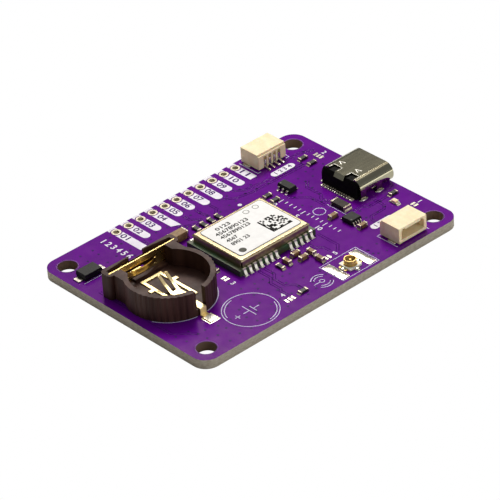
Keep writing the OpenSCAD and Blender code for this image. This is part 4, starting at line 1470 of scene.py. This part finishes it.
@dataclass
class ReceiverModule(Assembly):
    """The shielded receiver: finishes, and a plain printed label."""

    terminal_edge: float = 0.05
    ink_t: float = 0.012
    code_side: float = 3.9
    code_cells: int = 12
    code_filled: float = 0.5
    code_seed: int = 23
    code_place: Point = (3.75, -1.55)
    dot_place: Point = (-5.0, -3.6)
    dot_r: float = 0.62
    ring_places: tuple[Point, ...] = ((2.6, 3.9), (4.6, 3.9))
    ring_r: float = 0.5
    ring_w: float = 0.09
    frame_inset: float = 0.06
    frame_r: float = 0.6
    row_h: float = 0.8

    # Rows of counted figures: middle, text and length
    rows: tuple[tuple[float, float, str, float], ...] = (
        (-2.6, 3.55, "0123", 2.9),
        (-1.8, 2.35, "4567890123", 6.6),
        (-2.1, 1.2, "4567890123", 6.0),
        (-4.0, -0.1, "4567", 2.2),
        (-3.3, -1.3, "8901 23", 3.6),
    )

    def build(self) -> None:
        """Dresses the module and prints its label."""
        self.dress(Looks.module_laminate, "module_substrate")
        self.dress(Looks.shield, "module_shield")
        self.dress(Looks.label, "module_label")
        self.dress(Looks.epoxy, "receiver_chip", "supply_inductor")
        self.dress(Looks.ceramic_lid, "crystal_oscillator", "antenna_filter")
        self.softened("module_terminals", Looks.terminal_tin, self.terminal_edge)
        self.print_code()
        self.print_rows()
        self.print_marks()

    def print_code(self) -> None:
        """Prints a square of seeded cells with two solid sides."""
        high = Box.of("module_label").high.z
        x, y = self.code_place
        half = self.code_side / 2
        cell = self.code_side / self.code_cells
        cells = grown(
            "code_cells",
            bpy.data.meshes.new("none"),
            Trees.code_block(),
            Looks.label_ink,
            Cells=self.code_cells,
            Side=self.code_side * MM,
            Height=2 * self.ink_t * MM,
            Filled=self.code_filled,
            Seed=self.code_seed,
            Place=(x * MM, y * MM, high * MM),
        )
        low = y - half + cell / 2
        border = [[(x - half, y + half), (x - half, low), (x + half, low)]]
        sides = laid_line("code_sides", border, high, cell, self.ink_t, Looks.label_ink)
        keep(joined("label_code", [cells, sides]), Looks.label_ink)

    def print_rows(self) -> None:
        """Prints rows of counted figures."""
        high = Box.of("module_label").high.z
        rows = [
            figures(text, self.row_h, (x, y, high), 0, self.ink_t, Looks.label_ink, length)
            for x, y, text, length in self.rows
        ]
        keep(joined("label_figures", rows), Looks.label_ink)

    def print_marks(self) -> None:
        """Lays a fine grey line just inside the label's edge, and prints two rings and a dot at the
        first terminal.
        """
        label = Box.of("module_label")
        high = label.high.z
        r = self.frame_r
        reach = self.frame_inset + r
        x0, x1 = label.low.x + reach, label.high.x - reach
        y0, y1 = label.low.y + reach, label.high.y - reach
        outline = []
        for turn, corner in enumerate(((x1, y1), (x0, y1), (x0, y0), (x1, y0))):
            outline += arc(corner, r, 90 * turn, 90 * turn + 90, 6)
        rings = [ring(spot, self.ring_r, 24) for spot in self.ring_places] + [outline]
        dot = ring(self.dot_place, self.dot_r, 36)
        marks = [
            slab("dot", [dot], high, high + self.ink_t, Looks.label_grey),
            laid_line("rings", rings, high, self.ring_w, self.ink_t, Looks.label_grey, closed=True),
        ]
        keep(joined("label_marks", marks), Looks.label_grey)


@dataclass
class CellHolder(Assembly):
    """The coin cell holder and its two sprung contacts."""

    rounding: float = 0.09
    strip_rounding: float = 0.035
    strip_t: float = 0.2
    foot_w: float = 1.7
    foot_l: float = 1.7
    fillet: float = 0.22
    fillet_h: float = 0.08
    skin_sink: float = 0.004
    skin_h: float = 0.024

    def build(self) -> None:
        """Rounds the moulding's and the strips' edges, and solders the feet."""
        self.softened("holder_body", Looks.holder, self.rounding, 3)
        self.softened("holder_blade_contact", Looks.contact, self.strip_rounding)
        self.softened("holder_floor_contact", Looks.floor_gold, self.strip_rounding)
        self.tin_feet()

    def tin_feet(self) -> None:
        """Tins the tops of both solder feet, and lays solder round them."""
        middle = Box.of("holder_body").middle.x
        front, rear = Box.of("holder_floor_contact").low.y, Box.of("holder_blade_contact").high.y
        half = self.foot_w / 2
        spans = ((front, front + self.foot_l), (rear - self.foot_l + 2 * self.strip_t, rear))
        tops = [((middle - half, y0), (middle + half, y1)) for y0, y1 in spans]
        room = self.fillet
        pads = [((x0 - room, y0 - room), (x1 + room, y1 + room)) for (x0, y0), (x1, y1) in tops]
        skin = self.top + self.strip_t - self.skin_sink
        solder = [
            pillow("foot_tin", tops, skin, self.skin_h, Looks.terminal_tin),
            pillow("foot_solder", pads, self.top, self.fillet_h, Looks.terminal_tin),
        ]
        keep(joined("holder_solder", solder), Looks.terminal_tin)


@dataclass
class UsbReceptacle(Assembly):
    """The USB receptacle: shell, tongue and soldered feet."""

    edge: float = 0.05
    insulator_edge: float = 0.04
    shell_l: float = 7.3

    # Pressed catches on the top, as a bent line from the catch's middle, painted near-white as their
    # highlight
    mark_w: float = 0.26
    mark_h: float = 0.06
    mark_x: float = 2.25
    mark_ys: Point = (2.2, -1.45)
    mark_path: tuple[Point, ...] = ((0.3, -0.5), (0.0, 0.6), (-0.45, -0.4))

    # Painted highlights along the edges round the two rear notches
    notch_w: float = 1.75
    notch_l: float = 1.15
    notch_y: float = 1.95
    rim: float = 0.12
    rim_h: float = 0.012
    rim_rear: float = 0.12
    rim_in: float = 0.04
    rim_out: float = 0.08

    # Solder at the row of feet and at the stakes
    foot_first: float = 0.25
    foot_pitch: float = 0.5
    foot_count: int = 4
    foot_outer: Point = (2.42, 3.22)
    foot_in: float = 0.2
    foot_rise: float = 0.06
    foot_bead: Triple = (0.7, 0.34, 0.34)
    stake_rear: float = 0.575
    stake_front: float = 3.2
    stake_in: float = 0.15
    stake_bead: Triple = (1.9, 1.1, 0.28)
    under_bead: Triple = (1.9, 1.1, 0.12)

    def build(self) -> None:
        """Dresses the receptacle and adds its pressed marks, painted highlights on its notch edges,
        and solder.
        """
        self.softened("usb_shell", Looks.usb_steel, self.edge)
        self.softened("usb_insulator", Looks.insulator, self.insulator_edge)
        self.dress(Looks.pad_gold, "usb_contacts")
        self.dress(Looks.usb_steel, "usb_midplate")
        self.press_marks()
        self.edge_notches()
        self.solder_feet()

    def press_marks(self) -> None:
        """Raises the two pressed catches on the shell's top, painted near-white as the highlight on
        their bends.
        """
        shell = Box.of("usb_shell")
        x = shell.high.x - self.shell_l + self.mark_x
        paths = [[(x + dx, y + dy) for dx, dy in self.mark_path] for y in self.mark_ys]
        finish = Looks.sheared_steel
        keep(laid_line("usb_catches", paths, shell.high.z, self.mark_w, self.mark_h, finish), finish)

    def edge_notches(self) -> None:
        """Paints a highlight along the edges round the two notches at the shell's rear."""
        shell = Box.of("usb_shell")
        rear = shell.high.x - self.shell_l + self.rim_rear
        reach = rear + self.notch_l - self.rim_in
        half = self.notch_w / 2 + self.rim_out
        paths = []
        for side in (-1, 1):
            inner, outer = side * (self.notch_y - half), side * (self.notch_y + half)
            paths.append([(rear, outer), (reach, outer), (reach, inner), (rear, inner)])
        finish = Looks.sheared_steel
        keep(laid_line("usb_notch_highlights", paths, shell.high.z, self.rim, self.rim_h, finish), finish)

    def solder_feet(self) -> None:
        """Puts solder on the row of feet and round the stakes, above and below the board."""
        shell, feet = Box.of("usb_shell"), Box.of("usb_contacts")
        x, y, z = feet.low.x + self.foot_in, shell.middle.y, self.top + self.foot_rise
        row = [self.foot_first + self.foot_pitch * i for i in range(self.foot_count)]
        row += self.foot_outer
        drops = [((x, y + side * reach, z), self.foot_bead) for reach in row for side in (-1, 1)]
        for x in (shell.high.x - self.shell_l + self.stake_rear, shell.high.x - self.stake_front):
            for y in (shell.low.y + self.stake_in, shell.high.y - self.stake_in):
                drops += [((x, y, self.top), self.stake_bead), ((x, y, 0.0), self.under_bead)]
        keep(stamped("usb_solder", Stamp.BEAD, drops, Looks.solder), Looks.solder)


@dataclass
class CableSockets(Assembly):
    """The two side-entry cable sockets."""

    rounding: float = 0.06
    contact_edge: float = 0.03
    tab_edge: float = 0.04

    def build(self) -> None:
        """Rounds the mouldings and dresses the contacts."""
        for side in ("rear", "front"):
            self.softened(f"{side}_socket_housing", Looks.socket, self.rounding)
            self.softened(f"{side}_socket_contacts", Looks.solder, self.contact_edge)
            self.softened(f"{side}_socket_tabs", Looks.solder, self.tab_edge)


@dataclass
class AntennaConnector(Assembly):
    """The miniature coax connector."""

    base_edge: float = 0.05
    ring_edge: float = 0.03
    bead: Triple = (1.05, 1.05, 0.62)
    bead_in: float = 0.2

    def build(self) -> None:
        """Rounds the base and the ring, and solders the three feet."""
        self.softened("coax_base", Looks.coax_plastic, self.base_edge)
        self.softened("coax_ring", Looks.coax_gold, self.ring_edge)
        self.softened("coax_pin", Looks.coax_gold, self.ring_edge)
        ground, pin = Box.of("coax_ring"), Box.of("coax_pin")
        middle = ground.middle
        spots = [
            (ground.low.x + self.bead_in, middle.y, self.top),
            (ground.high.x - self.bead_in, middle.y, self.top),
            (middle.x, pin.low.y + self.bead_in, self.top),
        ]
        drops = [(spot, self.bead) for spot in spots]
        keep(stamped("coax_solder", Stamp.BEAD, drops, Looks.solder), Looks.solder)


@dataclass
class SmallParts(Assembly):
    """Chips, diode, fuse and lamp, with their solder."""

    body_edge: float = 0.03
    metal_edge: float = 0.05
    dot_r: float = 0.14
    dot_t: float = 0.006
    dots: tuple[tuple[str, Point], ...] = (
        ("esd_chip_body", (-0.45, 1.0)),
        ("regulator_body", (-0.7, -0.7)),
    )

    def build(self) -> None:
        """Rounds and dresses every small part."""
        bodies = {
            "diode_body": Looks.epoxy,
            "esd_chip_body": Looks.epoxy,
            "regulator_body": Looks.epoxy,
            "fuse_body": Looks.fuse,
            "resistor_bodies": Looks.resistor,
            "capacitor_bodies": Looks.capacitor,
            "bulk_capacitor_body": Looks.capacitor,
            "led_base": Looks.coax_plastic,
            "led_lens": Looks.led_resin,
        }
        for name, finish in bodies.items():
            self.softened(name, finish, self.body_edge)
        for name in ("diode", "esd_chip", "regulator"):
            self.softened(f"{name}_leads", Looks.solder, self.metal_edge)
        for name in ("fuse", "resistor", "capacitor", "bulk_capacitor"):
            self.softened(f"{name}_terminals", Looks.chip_tin, self.metal_edge)
        self.softened("led_terminals", Looks.pad_gold, self.body_edge)
        self.mark_chips()

    def mark_chips(self) -> None:
        """Marks the first leg of each leaded chip with a dot."""
        dots = []
        for name, (dx, dy) in self.dots:
            box = Box.of(name)
            path = ring((box.middle.x + dx, box.middle.y + dy), self.dot_r, 24)
            dots.append(slab("dot", [path], box.high.z, box.high.z + self.dot_t, Looks.chip_mark))
        keep(joined("chip_dots", dots), Looks.chip_mark)


# Studio


@dataclass(frozen=True)
class SoftBox:
    """One area lamp, aimed at the board.

    Attributes:
        name: The lamp's name.
        azimuth: Direction to the lamp from +X, in degrees.
        elevation: Height of that direction, in degrees.
        distance: Distance in metres.
        size: Width and height in metres.
        power: Power in watts.
        colour: Colour of the light.
    """

    name: str
    azimuth: float
    elevation: float
    distance: float
    size: Point
    power: float
    colour: Triple = (1.0, 1.0, 1.0)

    def place(self) -> None:
        """Puts the lamp in the scene."""
        lamp = bpy.data.lights.new(self.name, "AREA")
        lamp.shape = "RECTANGLE"
        lamp.size, lamp.size_y = self.size
        lamp.energy = self.power
        lamp.color = self.colour
        obj = link(bpy.data.objects.new(self.name, lamp))
        az, el = math.radians(self.azimuth), math.radians(self.elevation)
        toward = Vector((math.cos(az) * math.cos(el), math.sin(az) * math.cos(el), math.sin(el)))
        obj.location = toward * self.distance
        obj.rotation_euler = toward.to_track_quat("Z", "Y").to_euler()


@dataclass
class Studio:
    """Floor, lamps, surroundings and the photograph's camera."""

    azimuth: float = -40.7026
    elevation: float = 33.5127
    roll: float = -3.8795
    distance_mm: float = 489.035
    centre_mm: Point = (-0.3336, -0.0184)
    focal_px: float = 3140.31
    sensor_mm: float = 36.0
    near_m: float = 0.01
    floor_side: float = 4.0
    floor_drop_mm: float = 0.08
    floor_grey: Colour = (0.8, 0.8, 0.8, 1.0)
    white: Colour = (1.0, 1.0, 1.0, 1.0)
    ambient: float = 0.2
    lamps: tuple[SoftBox, ...] = (
        SoftBox("key", 49, 53, 0.36, (0.12, 0.12), 0.96, (1.0, 0.97, 0.92)),
        SoftBox("sky", 58, 70, 0.45, (0.42, 0.22), 0.5, (1.0, 0.98, 0.95)),
        SoftBox("glow", 49, 46, 0.32, (0.34, 0.135), 0.08, (1.0, 0.8, 0.6)),
        SoftBox("front_fill", -78, 24, 0.8, (0.5, 0.3), 1.6),
        SoftBox("side_card", -54, 4, 0.8, (0.3, 0.14), 0.28, (1.0, 0.96, 0.88)),
    )

    def build(self) -> None:
        """Sets up the studio."""
        self.set_surroundings()
        self.lay_floor()
        for lamp in self.lamps:
            lamp.place()
        self.set_camera()
        bpy.context.scene.view_settings.view_transform = "Standard"

    def set_surroundings(self) -> None:
        """Gives the room an even pale light."""
        world = bpy.data.worlds.new("room")
        world.use_nodes = True
        tree = NodeTree(world.node_tree)
        light = tree.add("ShaderNodeBackground", {"Color": self.white, "Strength": self.ambient})
        tree.add("ShaderNodeOutputWorld", {"Surface": light.outputs[0]})
        bpy.context.scene.world = world

    def lay_floor(self) -> None:
        """Lays a white floor under the board, seen as an even white."""
        half = self.floor_side / 2
        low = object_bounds()[0].z - self.floor_drop_mm * MM
        corners = [(-half, -half, low), (half, -half, low), (half, half, low), (-half, half, low)]
        mesh = bpy.data.meshes.new("floor")
        mesh.from_pydata(corners, [], [(0, 1, 2, 3)])
        material, tree = started_material("floor_white")
        seen = tree.add("ShaderNodeLightPath").outputs["Is Camera Ray"]
        matte = tree.add("ShaderNodeBsdfDiffuse", {"Color": self.floor_grey})
        white = tree.add("ShaderNodeEmission", {"Color": self.white, "Strength": 1.0})
        mixed = tree.add("ShaderNodeMixShader", {0: seen, 1: matte.outputs[0], 2: white.outputs[0]})
        tree.add("ShaderNodeOutputMaterial", {"Surface": mixed.outputs[0]})
        wear(mesh, material)
        link(bpy.data.objects.new("floor", mesh))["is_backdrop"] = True

    def set_camera(self) -> None:
        """Places the camera that was fitted to the photograph."""
        az, el, roll = (math.radians(a) for a in (self.azimuth, self.elevation, self.roll))
        back = Vector((math.sin(az) * math.cos(el), -math.cos(az) * math.cos(el), math.sin(el)))
        right = Vector((math.cos(az), math.sin(az), 0.0))
        up = back.cross(right)
        across = right * math.cos(roll) + up * math.sin(roll)
        upward = up * math.cos(roll) - right * math.sin(roll)
        camera = bpy.data.cameras.new("photo_camera")
        camera.sensor_width = self.sensor_mm
        camera.lens = self.focal_px * self.sensor_mm / IMAGE_SIDE
        camera.clip_start = self.near_m
        obj = link(bpy.data.objects.new("photo_camera", camera))
        spot = across * self.centre_mm[0] + upward * self.centre_mm[1] + back * self.distance_mm
        turn = Matrix((across, upward, back)).transposed().to_4x4()
        obj.matrix_world = Matrix.Translation(spot * MM) @ turn
        bpy.context.scene.camera = obj


def main() -> None:
    """Loads the frame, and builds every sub-assembly and the studio."""
    logging.basicConfig(level=logging.INFO, format="%(name)s: %(message)s")
    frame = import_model()
    nodes = frame["nodes"]
    Studio().build()
    for assembly in (
        BoardFaces(nodes),
        Legend(nodes),
        ReceiverModule(nodes),
        CellHolder(nodes),
        UsbReceptacle(nodes),
        CableSockets(nodes),
        AntennaConnector(nodes),
        SmallParts(nodes),
    ):
        LOG.info("building %s", type(assembly).__name__)
        assembly.build()


if __name__ == "__main__":
    main()
